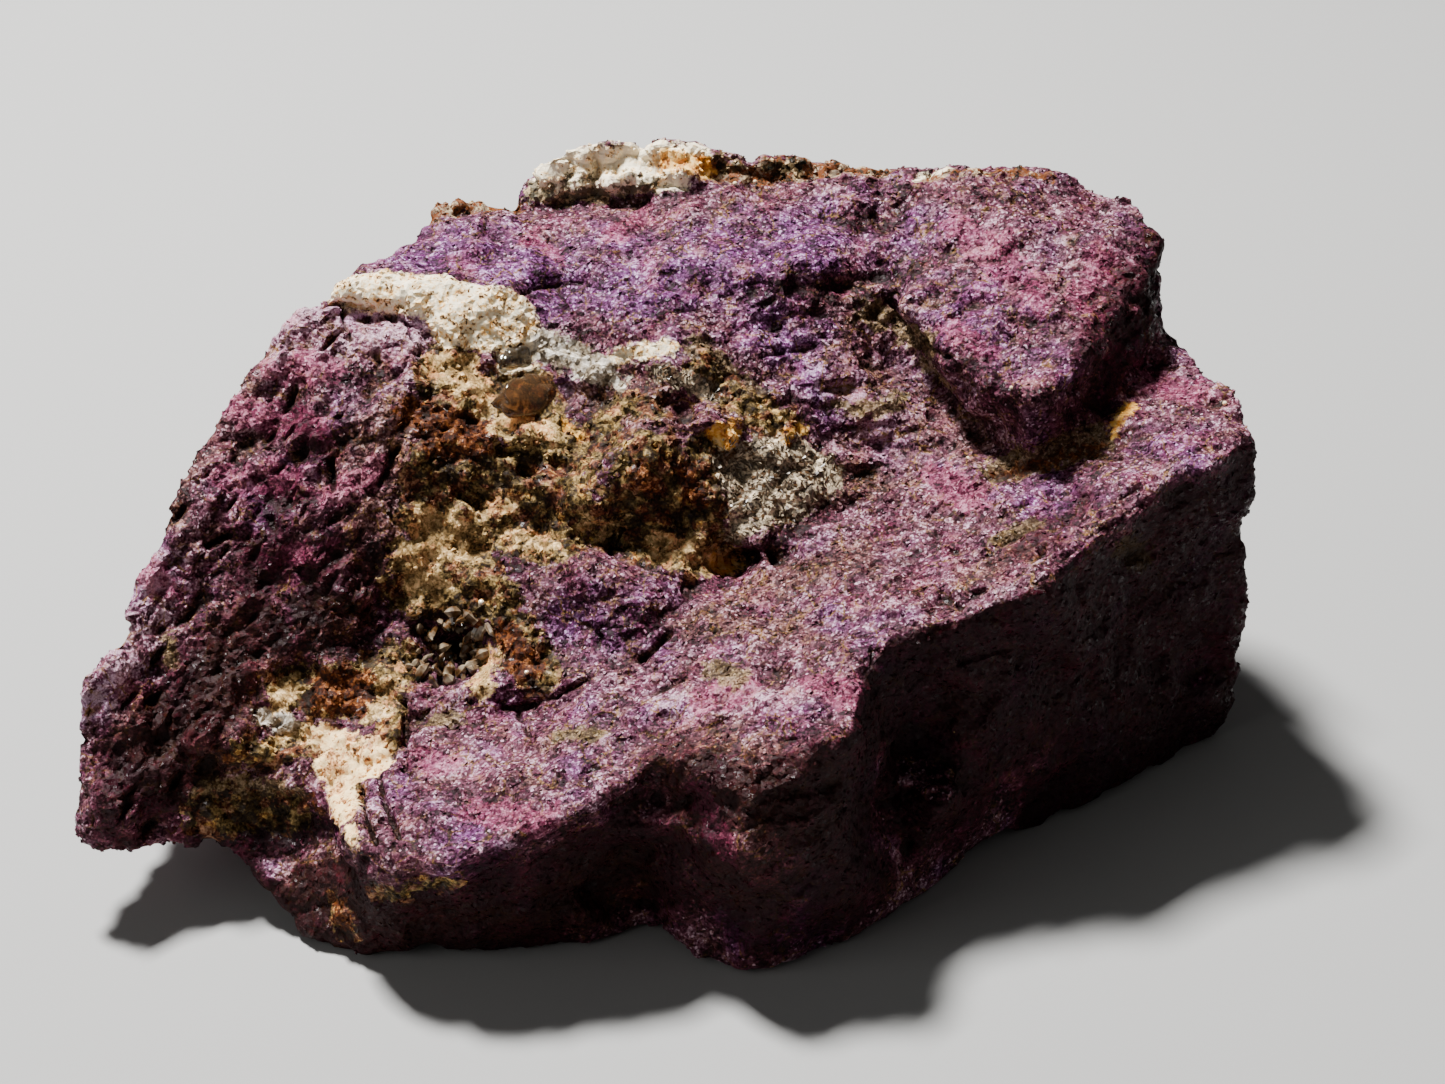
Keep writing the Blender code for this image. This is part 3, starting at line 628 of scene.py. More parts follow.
def raise_relief(stone):
    """Breaks, grains and weathers the surface, and keeps how deep in a hollow each point lies."""
    mesh = stone.data
    edges = numbers_of(mesh.edges, "vertices", 2, np.int32)
    base = worn_round(relaxed(points_of(mesh), edges, STEP_ROUNDS), edges)
    move_points(mesh, base)
    normals = normals_of(mesh)
    zones = {name: depth_inside(base, strokes) for name, strokes in ZONES.items()}
    # Painted shade lies in its zones, and in its steep zones only where the surface is steep
    steep_painted_shade = zones.pop("steep painted shade") - 9.0 * smooth_step(normals[:, 2], 0.6, 0.88)
    zones["painted_shade"] = np.maximum(zones["painted_shade"], steep_painted_shade)

    def within(low, high, *names):
        """0 to 1 as the deepest of some zones goes from low to high."""
        return smooth_step(np.max([zones[name] for name in names], axis=0), low, high)

    rough = within(-0.5, 0.3, "matrix", "cream", "peach")
    lumpy = within(-0.4, 0.3, "cap", "crust")
    pale = np.maximum(within(-0.3, 0.2, "feldspar"), lumpy)
    coarse = smooth_step(depth_inside(base, COARSE), -1.0, 3.0)
    fine = smooth_step(depth_inside(base, FINE), -1.0, 2.0)
    strength = 0.9 - 0.4 * fine - 0.25 * smooth_step(steep_painted_shade, -1.0, 2.0)
    rise = np.zeros(len(base))
    for number, point in enumerate(base):
        spot = Vector(point)
        if rough[number] < 1.0 and pale[number] < 1.0:
            way = WING_STREAK if coarse[number] > 0.5 else STREAK
            rise[number] = phosphate_relief(spot, way, strength[number], coarse[number])
        if rough[number] > 0.0:
            rise[number] += (matrix_relief(spot) - rise[number]) * rough[number]
        if lumpy[number] > 0.0:
            rise[number] += (cap_relief(spot) - rise[number]) * lumpy[number]
        elif pale[number] > 0.0:
            rise[number] += (feldspar_relief(spot) + 0.15 - rise[number]) * pale[number]
    for way, strokes in ((-1.0, GASHES), (1.0, SWELLS)):
        for half_width, reach, *stops in strokes.values():
            rise += way * reach * np.exp(-((gap_to_path(base, stops) / half_width) ** 2))
    seat = smooth_step(depth_inside(base, SEATS), -0.3, 0.2)
    rise += (-0.12 - rise) * seat
    on_sole = base[:, 2] < SOLE
    rise[on_sole] = np.minimum(rise[on_sole], 0.0)
    broken = base + normals * rise[:, None]
    broken = kept_in_box(without_spikes(broken, edges))
    move_points(mesh, broken)
    smooth = relaxed(broken, edges, HOLLOW_ROUNDS)
    zones["hollow"] = ((smooth - broken) * normals_of(mesh)).sum(axis=1)
    zones["sunken"] = relaxed(rise, edges, SUNKEN_ROUNDS) - rise
    to_end = CAD_BOX[1][0] / MM - np.abs(broken[:, 0])
    clear = smooth_step(broken[:, 2], 0.5, 0.9) * smooth_step(to_end, 0.1, 0.3) * (1.0 - seat)
    stony = np.maximum(rough, pale)
    crusty = within(-0.2, 0.2, "cap", "crust", "quartz")
    flaky = within(-0.2, 0.4, "mica")
    drusy = smooth_step(depth_inside(base, CRYSTAL_PITS), -0.1, 0.4)
    zones["chipped"] = clear * (1.0 - np.maximum(stony, flaky)) * smooth_step(zones["hollow"], 0.12, 0.0)
    zones["grainy"] = clear * np.maximum(0.8 * crusty, 0.35 * pale + 0.65 * rough) * (1.0 - drusy)
    zones["flaky"] = clear * flaky
    zones["drusy"] = clear * drusy
    zones["waxy"] = np.maximum(within(-0.2, 0.2, "cream", "peach"), drusy)
    for name, values in zones.items():
        layer = mesh.attributes.new(name, "FLOAT", "POINT")
        layer.data.foreach_set("value", values.astype(np.float32))


def thin_out(stone):
    """Leaves as many triangles as a piece may have, flat where it is cleaved and smooth where it is waxy."""
    stone.data.calc_loop_triangles()
    count = len(stone.data.loop_triangles)
    if count > STONE_TRIANGLES:
        thin = stone.modifiers.new("thin", "DECIMATE")
        thin.ratio = STONE_TRIANGLES / count
        thin.use_collapse_triangulate = True
        settle(stone)
    mesh = stone.data
    waxy = numbers_of(mesh.attributes["waxy"].data, "value")
    corners = numbers_of(mesh.loops, "vertex_index", kind=np.int32)
    mesh.polygons.foreach_set("use_smooth", waxy[corners].reshape(-1, 3).mean(axis=1) > 0.5)


def put(tree, socket, value):
    """Links an output to a socket, or sets a constant on it."""
    if isinstance(value, bpy.types.NodeSocket):
        tree.links.new(value, socket)
    else:
        socket.default_value = value


def set_inputs(tree, node, inputs):
    """Sets or links a node's inputs by their names, in which a _ stands for a space."""
    for name, value in inputs.items():
        label = name.replace("_", " ")
        put(tree, next(socket for socket in node.inputs if socket.name == label and socket.enabled), value)


def add_node(tree, kind, settings=None, **inputs):
    """A new node. Its settings come first, because they say which of its sockets are in use."""
    node = tree.nodes.new(kind)
    for name, value in (settings or {}).items():
        setattr(node, name, value)
    set_inputs(tree, node, inputs)
    return node


def result(node):
    """The first of a node's outputs that are in use."""
    return next(socket for socket in node.outputs if socket.enabled)


def operate(tree, kind, operation, values, **settings):
    """What a node makes of values, given in the order of its inputs."""
    node = add_node(tree, kind, {"operation": operation, **settings})
    for socket, value in zip(node.inputs, values):
        put(tree, socket, value)
    return result(node)


class Paint:
    """A material's node tree, with short calls for the nodes that stone needs."""

    def __init__(self, name):
        self.material = bpy.data.materials.new(name)
        self.material.use_nodes = True
        self.tree = self.material.node_tree
        self.spot = self.vector("MULTIPLY", self.add("TexCoord").outputs["Object"], (1 / MM, 1 / MM, 1 / MM))
        turn = STREAK.to_track_quat("X", "Z").to_euler()
        stretch = (1.5, 1.0, 1.0)
        self.along_grain = result(
            self.add("Mapping", {"vector_type": "TEXTURE"}, Vector=self.spot, Rotation=turn, Scale=stretch)
        )

    def add(self, kind, settings=None, **inputs):
        return add_node(self.tree, "ShaderNode" + kind, settings, **inputs)

    def finish(self, **inputs):
        """Sets the inputs of the surface, and gives the material."""
        set_inputs(self.tree, self.tree.nodes["Principled BSDF"], inputs)
        return self.material

    def math(self, operation, *values, clamp=False):
        return operate(self.tree, "ShaderNodeMath", operation, values, use_clamp=clamp)

    def vector(self, operation, *values):
        return operate(self.tree, "ShaderNodeVectorMath", operation, values)

    def total(self, start, *terms):
        """A start, plus each term's value times its factor."""
        for value, factor in terms:
            start = self.math("MULTIPLY_ADD", value, factor, start)
        return start

    def ramp(self, value, low, high):
        """0 to 1 as a value goes from low to high, with soft ends."""
        soft = {"interpolation_type": "SMOOTHSTEP"}
        return result(self.add("MapRange", soft, Value=value, From_Min=low, From_Max=high))

    def blend(self, share, first, second, way="MIX"):
        settings = {"data_type": "RGBA", "blend_type": way}
        return result(self.add("Mix", settings, Factor=share, A=first, B=second))

    def clouds(self, size, detail, rough=0.5, where=None):
        """Noise with features of a size in millimetres."""
        where = where or self.spot
        return self.add("TexNoise", Vector=where, Scale=1.0 / size, Detail=detail, Roughness=rough)

    def mottle(self, size, detail=3.0, rough=0.55, where=None):
        """Cloudy noise, 0 to 1."""
        return self.clouds(size, detail, rough, where).outputs["Fac"]

    def warped(self, size, reach):
        """The place, shifted by noise of a size, up to a reach, both in millimetres."""
        shift = self.vector("SUBTRACT", self.clouds(size, 1.0).outputs["Color"], (0.5, 0.5, 0.5))
        return self.vector("MULTIPLY_ADD", shift, (reach * 2, reach * 2, reach * 2), self.spot)

    def cells(self, size):
        """Grains of a size in millimetres: the distance from each one's middle, and its random numbers."""
        node = self.add("TexVoronoi", Vector=self.spot, Scale=1.0 / size)
        return node.outputs["Distance"], node.outputs["Color"]

    def seams(self, size, where=None):
        """Distance from the seams between grains of a size, as a share of it."""
        from_edge = {"feature": "DISTANCE_TO_EDGE"}
        return result(self.add("TexVoronoi", from_edge, Vector=where or self.spot, Scale=1.0 / size))

    def parts(self, tint):
        """The three random numbers of a colour."""
        return self.add("SeparateColor", Color=tint).outputs[:3]

    def palette(self, value, stops):
        """A colour picked from stops of (value, colour)."""
        node = self.add("ValToRGB", Fac=value)
        elements = node.color_ramp.elements
        for _ in stops[2:]:
            elements.new(0.5)
        for element, (position, shade) in zip(elements, stops):
            element.position = position
            element.color = shade
        return result(node)

    def attribute(self, name):
        return self.add("Attribute", {"attribute_name": name}).outputs["Fac"]

    def zone(self, name, ragged, size, soft=0.15):
        """Share of a zone at a point, its edge broken up by noise of a size in millimetres."""
        edge = self.math("MULTIPLY_ADD", self.mottle(size, 4.0, 0.65), ragged * 4, -ragged * 2)
        return self.ramp(self.math("ADD", self.attribute(name), edge), -soft, soft)


def colour(red, green, blue):
    """A colour as the eye sees it, 0 to 255, for a shader."""
    def straight(part):
        part /= 255
        return part / 12.92 if part <= 0.04045 else ((part + 0.055) / 1.055) ** 2.4
    return (straight(red), straight(green), straight(blue), 1.0)


BLACK_PLUM = colour(27, 7, 14)
DEEP_PLUM = colour(37, 11, 18)
PLUM = colour(65, 27, 41)
MAUVE = colour(91, 48, 63)
DUSTY_PINK = colour(121, 78, 93)
SILVER_PINK = colour(195, 159, 173)
DEEP_VIOLET = colour(33, 8, 29)
VIOLET = colour(63, 22, 58)
HEATHER = colour(91, 42, 84)
LAVENDER = colour(121, 69, 120)
SILVER_LILAC = colour(189, 152, 191)
ROSE = colour(110, 35, 65)
PALE_ROSE = colour(172, 93, 121)
BARK = colour(27, 15, 7)
UMBER = colour(50, 32, 15)
EARTH = colour(80, 53, 27)
TAN = colour(133, 95, 54)
DUSTY_TAN = colour(153, 114, 86)
PALE_TAN = colour(206, 158, 92)
CREAM_WHITE = colour(242, 202, 148)
BONE = colour(254, 220, 164)
CHALK = colour(255, 240, 208)
MAROON = colour(48, 18, 10)
CLAY = colour(102, 57, 35)
FLESH = colour(202, 138, 94)
PEACH_CREAM = colour(255, 214, 150)
SMOKE = colour(67, 55, 42)
ASH = colour(146, 131, 109)
FROST = colour(232, 224, 210)
SILVER_BROWN = colour(240, 214, 178)
BRICK = colour(60, 23, 8)
RUSTY = colour(112, 60, 22)
ORANGE = colour(210, 130, 40)
YELLOW_OCHRE = colour(240, 186, 86)
OLIVE_BARK = colour(46, 34, 16)
OLIVE_BROWN = colour(74, 58, 30)
OLIVE_TAN = colour(134, 108, 64)
KHAKI = colour(190, 160, 108)
MOSS = colour(76, 62, 34)
DRY_MOSS = colour(140, 120, 78)
BOTTLE = colour(18, 21, 13)
# Dirt and painted shade in the hollows
HOLLOW_DIRT_AND_SHADE = colour(21, 8, 7)
# Tint of the painted shade
PAINTED_SHADE_TINT = (1.0, 0.57, 0.63, 1.0)


class Minerals:
    """The minerals' colours, laid over each other in the order in which they grew and weathered.

    Keeps the colour at a point, and the share of the ground there that is pale or glassy mineral.
    """

    def __init__(self, paint, coarse_grains, fine_grains):
        self.paint = paint
        coarse_chance, self.stain_chance, mineral_chance = paint.parts(coarse_grains)
        fine_chance, fine_mineral_chance, painted_glint_chance = paint.parts(fine_grains)
        tint = paint.attribute("tint")
        blotch = paint.mottle(0.5, 4.0, 0.74, paint.along_grain)
        veins = paint.mottle(0.4, 4.0, 0.7, paint.warped(0.9, 0.5))
        # Dark marks, partly dark minerals and partly painted shade, lower the tone
        pits_and_shade = paint.zone("pits_and_shade", 0.9, 0.9, 0.5)
        tone = paint.total(
            -0.92, (blotch, 1.2), (coarse_chance, 0.3), (tint, 1.0), (paint.mottle(1.8), 0.8),
            # Painted glints: a few fine grains much lighter
            (fine_chance, 0.55), (paint.ramp(painted_glint_chance, 0.91, 0.94), 0.42),
            # Painted shade: darker where the surface is sunken
            (paint.attribute("sunken"), -0.45),
        )
        # Painted shade pulls the tone towards a dark one
        self.painted_shade = paint.math("MULTIPLY", paint.zone("painted_shade", 1.7, 2.4, 1.7), 0.78)
        to_painted_shade = paint.math("SUBTRACT", 0.1, tone)
        # Painted light lifts the tone
        painted_light = paint.zone("painted_light", 1.2, 1.2, 1.0)
        self.tone = paint.total(tone, (self.painted_shade, to_painted_shade), (painted_light, 0.32), (pits_and_shade, -0.3))
        self.stone_tone = paint.total(
            -1.26, (veins, 1.3), (paint.mottle(1.4, 3.0, 0.6), 1.3), (tint, 1.0), (mineral_chance, 0.36),
            (fine_mineral_chance, 0.4), (pits_and_shade, -0.12),
        )
        self.pale_tone = paint.math("ADD", self.stone_tone, 0.2)
        self.crumb_tone = paint.total(
            -0.37, (blotch, 1.0), (mineral_chance, 0.45), (fine_mineral_chance, 0.25), (tint, 1.0)
        )
        self.spar_tone = paint.total(
            -0.66, (veins, 1.7), (mineral_chance, 0.4), (fine_mineral_chance, 0.4), (tint, 0.6)
        )
        self.glassy = 0.0

    def shades(self, tone, *palettes):
        """The colour that each palette has for a tone."""
        return [self.paint.palette(tone, stops) for stops in palettes]

    def phosphate(self):
        """Dusty mauve to violet phosphate, rosy in places, stained brown along its joints, browner where it
        is sunken, and tinted redder and darker where painted shade lies.
        """
        paint = self.paint
        steps = (0.04, 0.22, 0.38, 0.54, 0.74, 1.0)
        dusty = list(zip(steps, (BLACK_PLUM, DEEP_PLUM, PLUM, MAUVE, DUSTY_PINK, SILVER_PINK)))
        violet = list(zip(steps, (BLACK_PLUM, DEEP_VIOLET, VIOLET, HEATHER, LAVENDER, SILVER_LILAC)))
        rosy = [(0.1, DEEP_PLUM), (0.4, ROSE), (0.8, PALE_ROSE)]
        brown = [(0.05, BARK), (0.3, UMBER), (0.5, EARTH), (0.72, TAN), (1.0, DUSTY_TAN)]
        dusty, violet, rosy, brown = self.shades(self.tone, dusty, violet, rosy, brown)
        pull = paint.total(-1.5, (paint.mottle(3.5), 3.0), (paint.attribute("violet"), 0.16))
        self.body = paint.blend(paint.ramp(pull, -0.4, 0.6), dusty, violet)
        warm = paint.math("MULTIPLY", paint.ramp(paint.mottle(2.2), 0.5, 0.7), 0.4)
        self.body = paint.blend(warm, self.body, rosy)
        lines = paint.ramp(paint.seams(1.1, paint.warped(0.8, 0.35)), 0.05, 0.01)
        wash = paint.total(
            0.0, (paint.ramp(paint.mottle(1.1, 4.0, 0.7), 0.52, 0.66), 0.34),
            (paint.ramp(self.stain_chance, 0.86, 0.9), 0.15), (paint.zone("stained", 1.4, 0.9, 0.8), 0.35),
            (lines, paint.ramp(paint.mottle(1.5), 0.4, 0.6)),
        )
        sunken = paint.ramp(paint.attribute("sunken"), 0.05, 0.3)
        wash = paint.math("MULTIPLY_ADD", sunken, 0.5, wash, clamp=True)
        self.body = paint.blend(wash, self.body, brown)
        # Painted shade is tinted as well as darkened
        self.body = paint.blend(self.painted_shade, self.body, PAINTED_SHADE_TINT, "MULTIPLY")

    def cover(self, share, laid, glassy=True):
        """Lays a colour over a share of the body."""
        self.body = self.paint.blend(share, self.body, laid)
        if glassy:
            self.glassy = self.paint.math("MAXIMUM", self.glassy, share)

    def lay(self, name, ragged, size, stops, most=1.0, tone=None, glassy=True):
        """Lays a mineral over the body inside its zone."""
        share = self.paint.zone(name, ragged, size)
        if most < 1.0:
            share = self.paint.math("MULTIPLY", share, most)
        self.cover(share, self.paint.palette(tone or self.stone_tone, stops), glassy)

    def spar(self, name, clean, stained):
        """Lays feldspar over the body inside its zone, clean in some places and stained in others."""
        paint = self.paint
        patch = paint.ramp(paint.mottle(1.0, 4.0, 0.6), 0.5, 0.62)
        clean, stained = self.shades(self.spar_tone, clean, stained)
        self.cover(paint.zone(name, 0.35, 0.5), paint.blend(patch, clean, stained))

    def matrix(self):
        """Waxy olive and brown lumps, with flesh pink and rusty ones among them."""
        paint = self.paint
        olive = [(0.05, BARK), (0.26, OLIVE_BARK), (0.46, OLIVE_BROWN), (0.7, OLIVE_TAN), (1.0, KHAKI)]
        fleshy = [(0.05, BARK), (0.25, MAROON), (0.5, CLAY), (0.75, DUSTY_TAN), (1.0, FLESH)]
        rusty = [(0.1, BARK), (0.4, BRICK), (0.65, RUSTY), (0.95, YELLOW_OCHRE)]
        olive, fleshy, rusty = self.shades(self.stone_tone, olive, fleshy, rusty)
        ground = paint.blend(paint.ramp(paint.mottle(0.9), 0.5, 0.6), olive, fleshy)
        rust = paint.math("MULTIPLY", paint.ramp(paint.mottle(0.7, 4.0), 0.56, 0.64), 0.7)
        self.cover(paint.zone("matrix", 0.8, 0.9), paint.blend(rust, ground, rusty))


def stone_colour(paint, coarse_grains, fine_grains):
    """The stone's colour, and the share of it that is pale or glassy mineral."""
    minerals = Minerals(paint, coarse_grains, fine_grains)
    minerals.phosphate()
    rosy = [(0.1, DEEP_PLUM), (0.4, ROSE), (0.85, PALE_ROSE)]
    minerals.lay("pink", 0.9, 0.9, rosy, 0.6, minerals.tone, glassy=False)
    mossy = [(0.1, UMBER), (0.4, MOSS), (0.8, DRY_MOSS)]
    minerals.lay("olive", 0.6, 0.5, mossy, 0.75, minerals.tone, glassy=False)
    minerals.matrix()
    minerals.lay("rust", 0.6, 0.5, [(0.1, BARK), (0.4, BRICK), (0.7, RUSTY), (1.0, FLESH)], 0.95)
    cream = [
        (0.05, UMBER), (0.22, OLIVE_BROWN), (0.42, TAN), (0.6, FLESH), (0.8, PALE_TAN), (1.0, CREAM_WHITE),
    ]
    minerals.lay("cream", 0.8, 0.5, cream, tone=minerals.pale_tone)
    waxy = [(0.05, BARK), (0.28, OLIVE_BROWN), (0.55, OLIVE_TAN), (0.82, KHAKI), (1.0, CREAM_WHITE)]
    minerals.lay("cream", 1.9, 1.2, waxy, 0.85, minerals.pale_tone)
    peach = [(0.1, EARTH), (0.28, FLESH), (0.44, PEACH_CREAM), (0.7, BONE)]
    streaked = [(0.1, UMBER), (0.3, TAN), (0.5, FLESH), (0.8, PEACH_CREAM)]
    minerals.spar("peach", peach, streaked)
    mica = [(0.05, BARK), (0.25, EARTH), (0.42, SMOKE), (0.68, ASH), (1.0, SILVER_BROWN)]
    minerals.lay("mica", 0.5, 0.5, mica, tone=minerals.pale_tone)
    clean = [(0.1, BARK), (0.18, EARTH), (0.28, TAN), (0.36, CREAM_WHITE), (0.48, BONE), (0.62, CHALK)]
    stained = [
        (0.16, UMBER), (0.28, OLIVE_TAN), (0.4, FLESH), (0.5, YELLOW_OCHRE), (0.6, PEACH_CREAM),
        (0.85, CHALK),
    ]
    minerals.spar("feldspar", clean, stained)
    minerals.lay("quartz", 0.5, 0.5, [(0.1, SMOKE), (0.4, ASH), (0.8, FROST)], tone=minerals.crumb_tone)
    white = [(0.02, BARK), (0.08, EARTH), (0.15, TAN), (0.22, CREAM_WHITE), (0.34, BONE), (0.5, CHALK)]
    speckled = [(0.04, BOTTLE), (0.1, MOSS), (0.16, TAN), (0.22, CREAM_WHITE), (0.36, BONE), (0.54, CHALK)]
    minerals.spar("cap", white, speckled)
    crust = [(0.1, BOTTLE), (0.25, UMBER), (0.4, RUSTY), (0.52, CLAY), (0.68, ASH), (0.95, CREAM_WHITE)]
    minerals.lay("crust", 0.5, 0.5, crust, tone=minerals.crumb_tone)
    green = [(0.3, BOTTLE), (0.6, MOSS), (0.9, CREAM_WHITE)]
    minerals.lay("green", 0.7, 0.5, green, 0.9, minerals.crumb_tone)
    ochre = [(0.1, RUSTY), (0.28, ORANGE), (0.55, YELLOW_OCHRE), (1.0, BONE)]
    minerals.lay("ochre", 0.4, 0.5, ochre, 0.9, minerals.crumb_tone)
    return minerals.body, minerals.glassy


# Sizes in millimetres of the grains that colour the stone, and of the small faces that glint
COARSE_CELL = 0.42
FINE_CELL = 0.13
GLINT_CELL = 0.22


def stone_material():
    """Grains with dark seams, dirt and painted shade in the hollows, and a break whose small faces glint."""
    paint = Paint("purpurite")
    coarse_gap, coarse_grains = paint.cells(COARSE_CELL)
    fine_grains = paint.cells(FINE_CELL)[1]
    body, glassy = stone_colour(paint, coarse_grains, fine_grains)
    seam = paint.ramp(paint.seams(FINE_CELL), 0.12, 0.0)
    body = paint.blend(paint.math("MULTIPLY", seam, paint.total(0.4, (glassy, -0.35))), body, BLACK_PLUM)
    # Dirt and painted shade darken the hollows, less on pale minerals
    hollow = paint.ramp(paint.attribute("hollow"), 0.03, 0.18)
    body = paint.blend(paint.math("MULTIPLY", hollow, paint.total(0.8, (glassy, -0.6))), body, HOLLOW_DIRT_AND_SHADE)

    height = paint.total(
        0.0, (paint.ramp(coarse_gap, 0.8, 0.5), 0.35), (paint.parts(coarse_grains)[1], 0.5),
        (paint.parts(fine_grains)[2], 0.45), (paint.mottle(0.14, 3.0, 0.7), 0.45),
    )
    cleaved = paint.total(1.0, (glassy, -0.5))
    tilts = paint.cells(GLINT_CELL)[1]
    tilt = paint.vector("SUBTRACT", tilts, (0.5, 0.5, 0.5))
    steepness = paint.math("MULTIPLY", cleaved, 0.6)
    tilt = result(paint.add("VectorMath", {"operation": "SCALE"}, Vector=tilt, Scale=steepness))
    leaning = paint.vector("ADD", paint.add("NewGeometry").outputs["Normal"], tilt)
    leaning = paint.vector("NORMALIZE", leaning)
    bump = paint.add("Bump", Strength=cleaved, Distance=0.08 * MM, Height=height, Normal=leaning)
    roughness = paint.total(0.6, (glassy, 0.06), (paint.ramp(paint.parts(tilts)[1], 0.8, 0.86), -0.34))
    return paint.finish(
        Base_Color=body, Roughness=roughness, IOR=1.5, Specular_IOR_Level=0.12, Normal=result(bump)
    )


def mica_material():
    """Silvery brown plates, each of its own tone."""
    paint = Paint("mica")
    tone = paint.total(paint.mottle(0.5), (paint.attribute("tint"), 1.8))
    shade = paint.palette(tone, [(0.1, BARK), (0.3, EARTH), (0.48, SMOKE), (0.7, ASH), (1.0, SILVER_BROWN)])
    return paint.finish(Base_Color=shade, Roughness=0.3, IOR=1.6)


def smoky_quartz_material():
    """Nearly black quartz whose faces are bright where they catch the light."""
    paint = Paint("smoky quartz")
    shade = paint.palette(paint.mottle(0.8, 2.0), [(0.35, BOTTLE), (0.48, EARTH), (0.65, ASH)])
    return paint.finish(Base_Color=shade, Roughness=0.16, IOR=1.6)


# A white mineral that stands for glints: painted glints
def painted_glint_material():
    paint = Paint("painted glint white")
    shade = paint.palette(paint.mottle(0.2), [(0.3, FROST), (0.6, BONE)])
    return paint.finish(Base_Color=shade, Roughness=0.15)


def glass_material(name, shade, smoke, density):
    """Clear mineral: light passes through it and is taken up on the way."""
    paint = Paint(name)
    inside = paint.add("VolumeAbsorption", Color=smoke, Density=density)
    set_inputs(paint.tree, paint.tree.nodes["Material Output"], {"Volume": result(inside)})
    return paint.finish(Base_Color=shade, Roughness=0.06, IOR=1.54, Transmission_Weight=0.9)


# Shapes that are strewn, about one unit across and longest along the grain. A chip and a flake have a top of
# four corners, a little above the ground, over one point that is sunk in the stone.
SUNK = (0.0, 0.0, -0.45)
CHIP_FACES = [(0, 1, 2, 3), (1, 0, 4), (2, 1, 4), (3, 2, 4), (0, 3, 4)]
CHIPS = {
    "long chip": [(-0.5, -0.3, 0.04), (0.46, -0.36, 0.16), (0.54, 0.28, 0.12), (-0.44, 0.32, 0.02), SUNK],
    "square chip": [(-0.42, -0.4, 0.02), (0.44, -0.36, 0.2), (0.38, 0.42, 0.14), (-0.4, 0.36, -0.02), SUNK],
    "wedge chip": [(-0.46, -0.3, -0.06), (0.36, -0.42, 0.22), (0.46, 0.36, 0.26), (-0.34, 0.38, 0.0), SUNK],
    "stub chip": [(-0.36, -0.34, 0.16), (0.34, -0.38, 0.08), (0.38, 0.3, 0.22), (-0.32, 0.36, 0.1), SUNK],
}
FLAKES = {
    "flake": [
        (-0.7, -0.1, 0.2), (0.65, -0.16, 0.3), (0.72, 0.1, 0.28), (-0.6, 0.14, 0.16), (0.0, 0.02, -0.2),
    ],
    "plate": [
        (-0.45, -0.3, 0.1), (0.4, -0.34, 0.16), (0.5, 0.26, 0.2), (-0.36, 0.32, 0.1), (0.0, 0.0, -0.12),
    ],
}

# A grain is an eight-sided crystal knocked out of true
GRAIN_FACES = [(0, 2, 4), (2, 1, 4), (1, 3, 4), (3, 0, 4), (2, 0, 5), (1, 2, 5), (3, 1, 5), (0, 3, 5)]
GRAINS = {
    "grain": [
        (0.5, 0.1, 0.0), (-0.45, 0.0, 0.1), (0.1, 0.5, -0.1), (0.0, -0.42, 0.1), (0.05, 0.05, 0.4),
        (0.0, 0.0, -0.4),
    ],
    "flat grain": [
        (0.55, 0.0, 0.1), (-0.5, 0.1, -0.1), (0.0, 0.42, 0.1), (0.1, -0.5, 0.0), (-0.1, 0.1, 0.28),
        (0.0, 0.0, -0.3),
    ],
    "block grain": [
        (0.42, 0.3, 0.1), (-0.42, -0.3, 0.1), (-0.3, 0.42, 0.05), (0.3, -0.42, 0.1), (0.1, 0.0, 0.42),
        (0.0, 0.0, -0.4),
    ],
}

# Six-sided crystals: half width, length up to the shoulder, and height of the tip over it
CRYSTALS = {
    "slim crystal": (0.16, 0.55, 0.25),
    "stout crystal": (0.26, 0.3, 0.3),
    "short crystal": (0.2, 0.15, 0.28),
}


def mesh_of(name, corners, faces):
    mesh = bpy.data.meshes.new(name)
    mesh.from_pydata(corners, [], faces)
    return mesh


def shapes_of(table, faces):
    """A table's shapes, as objects that stay out of the scene."""
    return [bpy.data.objects.new(name, mesh_of(name, corners, faces)) for name, corners in table.items()]


def crystal_shapes():
    """Quartz crystals that stand on their feet, with their tips a little off the middle."""
    faces = [tuple(range(5, -1, -1))]
    for side in range(6):
        beside = (side + 1) % 6
        faces += [(side, beside, 6 + beside, 6 + side), (6 + side, 6 + beside, 12)]
    turns = np.linspace(0.0, math.tau, 7)[:6]
    shapes = {}
    for name, (width, length, tip) in CRYSTALS.items():
        ring = [Vector((math.cos(turn), math.sin(turn), 0.0)) * width for turn in turns]
        foot = [corner - Vector((0.0, 0.0, 0.3)) for corner in ring]
        shoulder = [corner * 0.92 + Vector((0.0, 0.0, length)) for corner in ring]
        shapes[name] = [*foot, *shoulder, Vector((0.0, 0.06, length + tip))]
    return shapes_of(shapes, faces)


# What a scatter tree is given: the kind of each input, and its value unless it is set
SCATTER_INPUTS = {
    "Ground": ("Geometry", None),
    "Pieces per square metre": ("Float", 1e6),
    "Smallest": ("Float", 0.0002),
    "Largest": ("Float", 0.0005),
    "Lean": ("Float", 0.4),
    "Twist": ("Float", math.pi),
    "Where": ("String", "chipped"),
    "Seed": ("Int", 1),
}

# How much darker and lighter than its ground a strewn shape may be
DARKEST, LIGHTEST = -0.16, 0.2


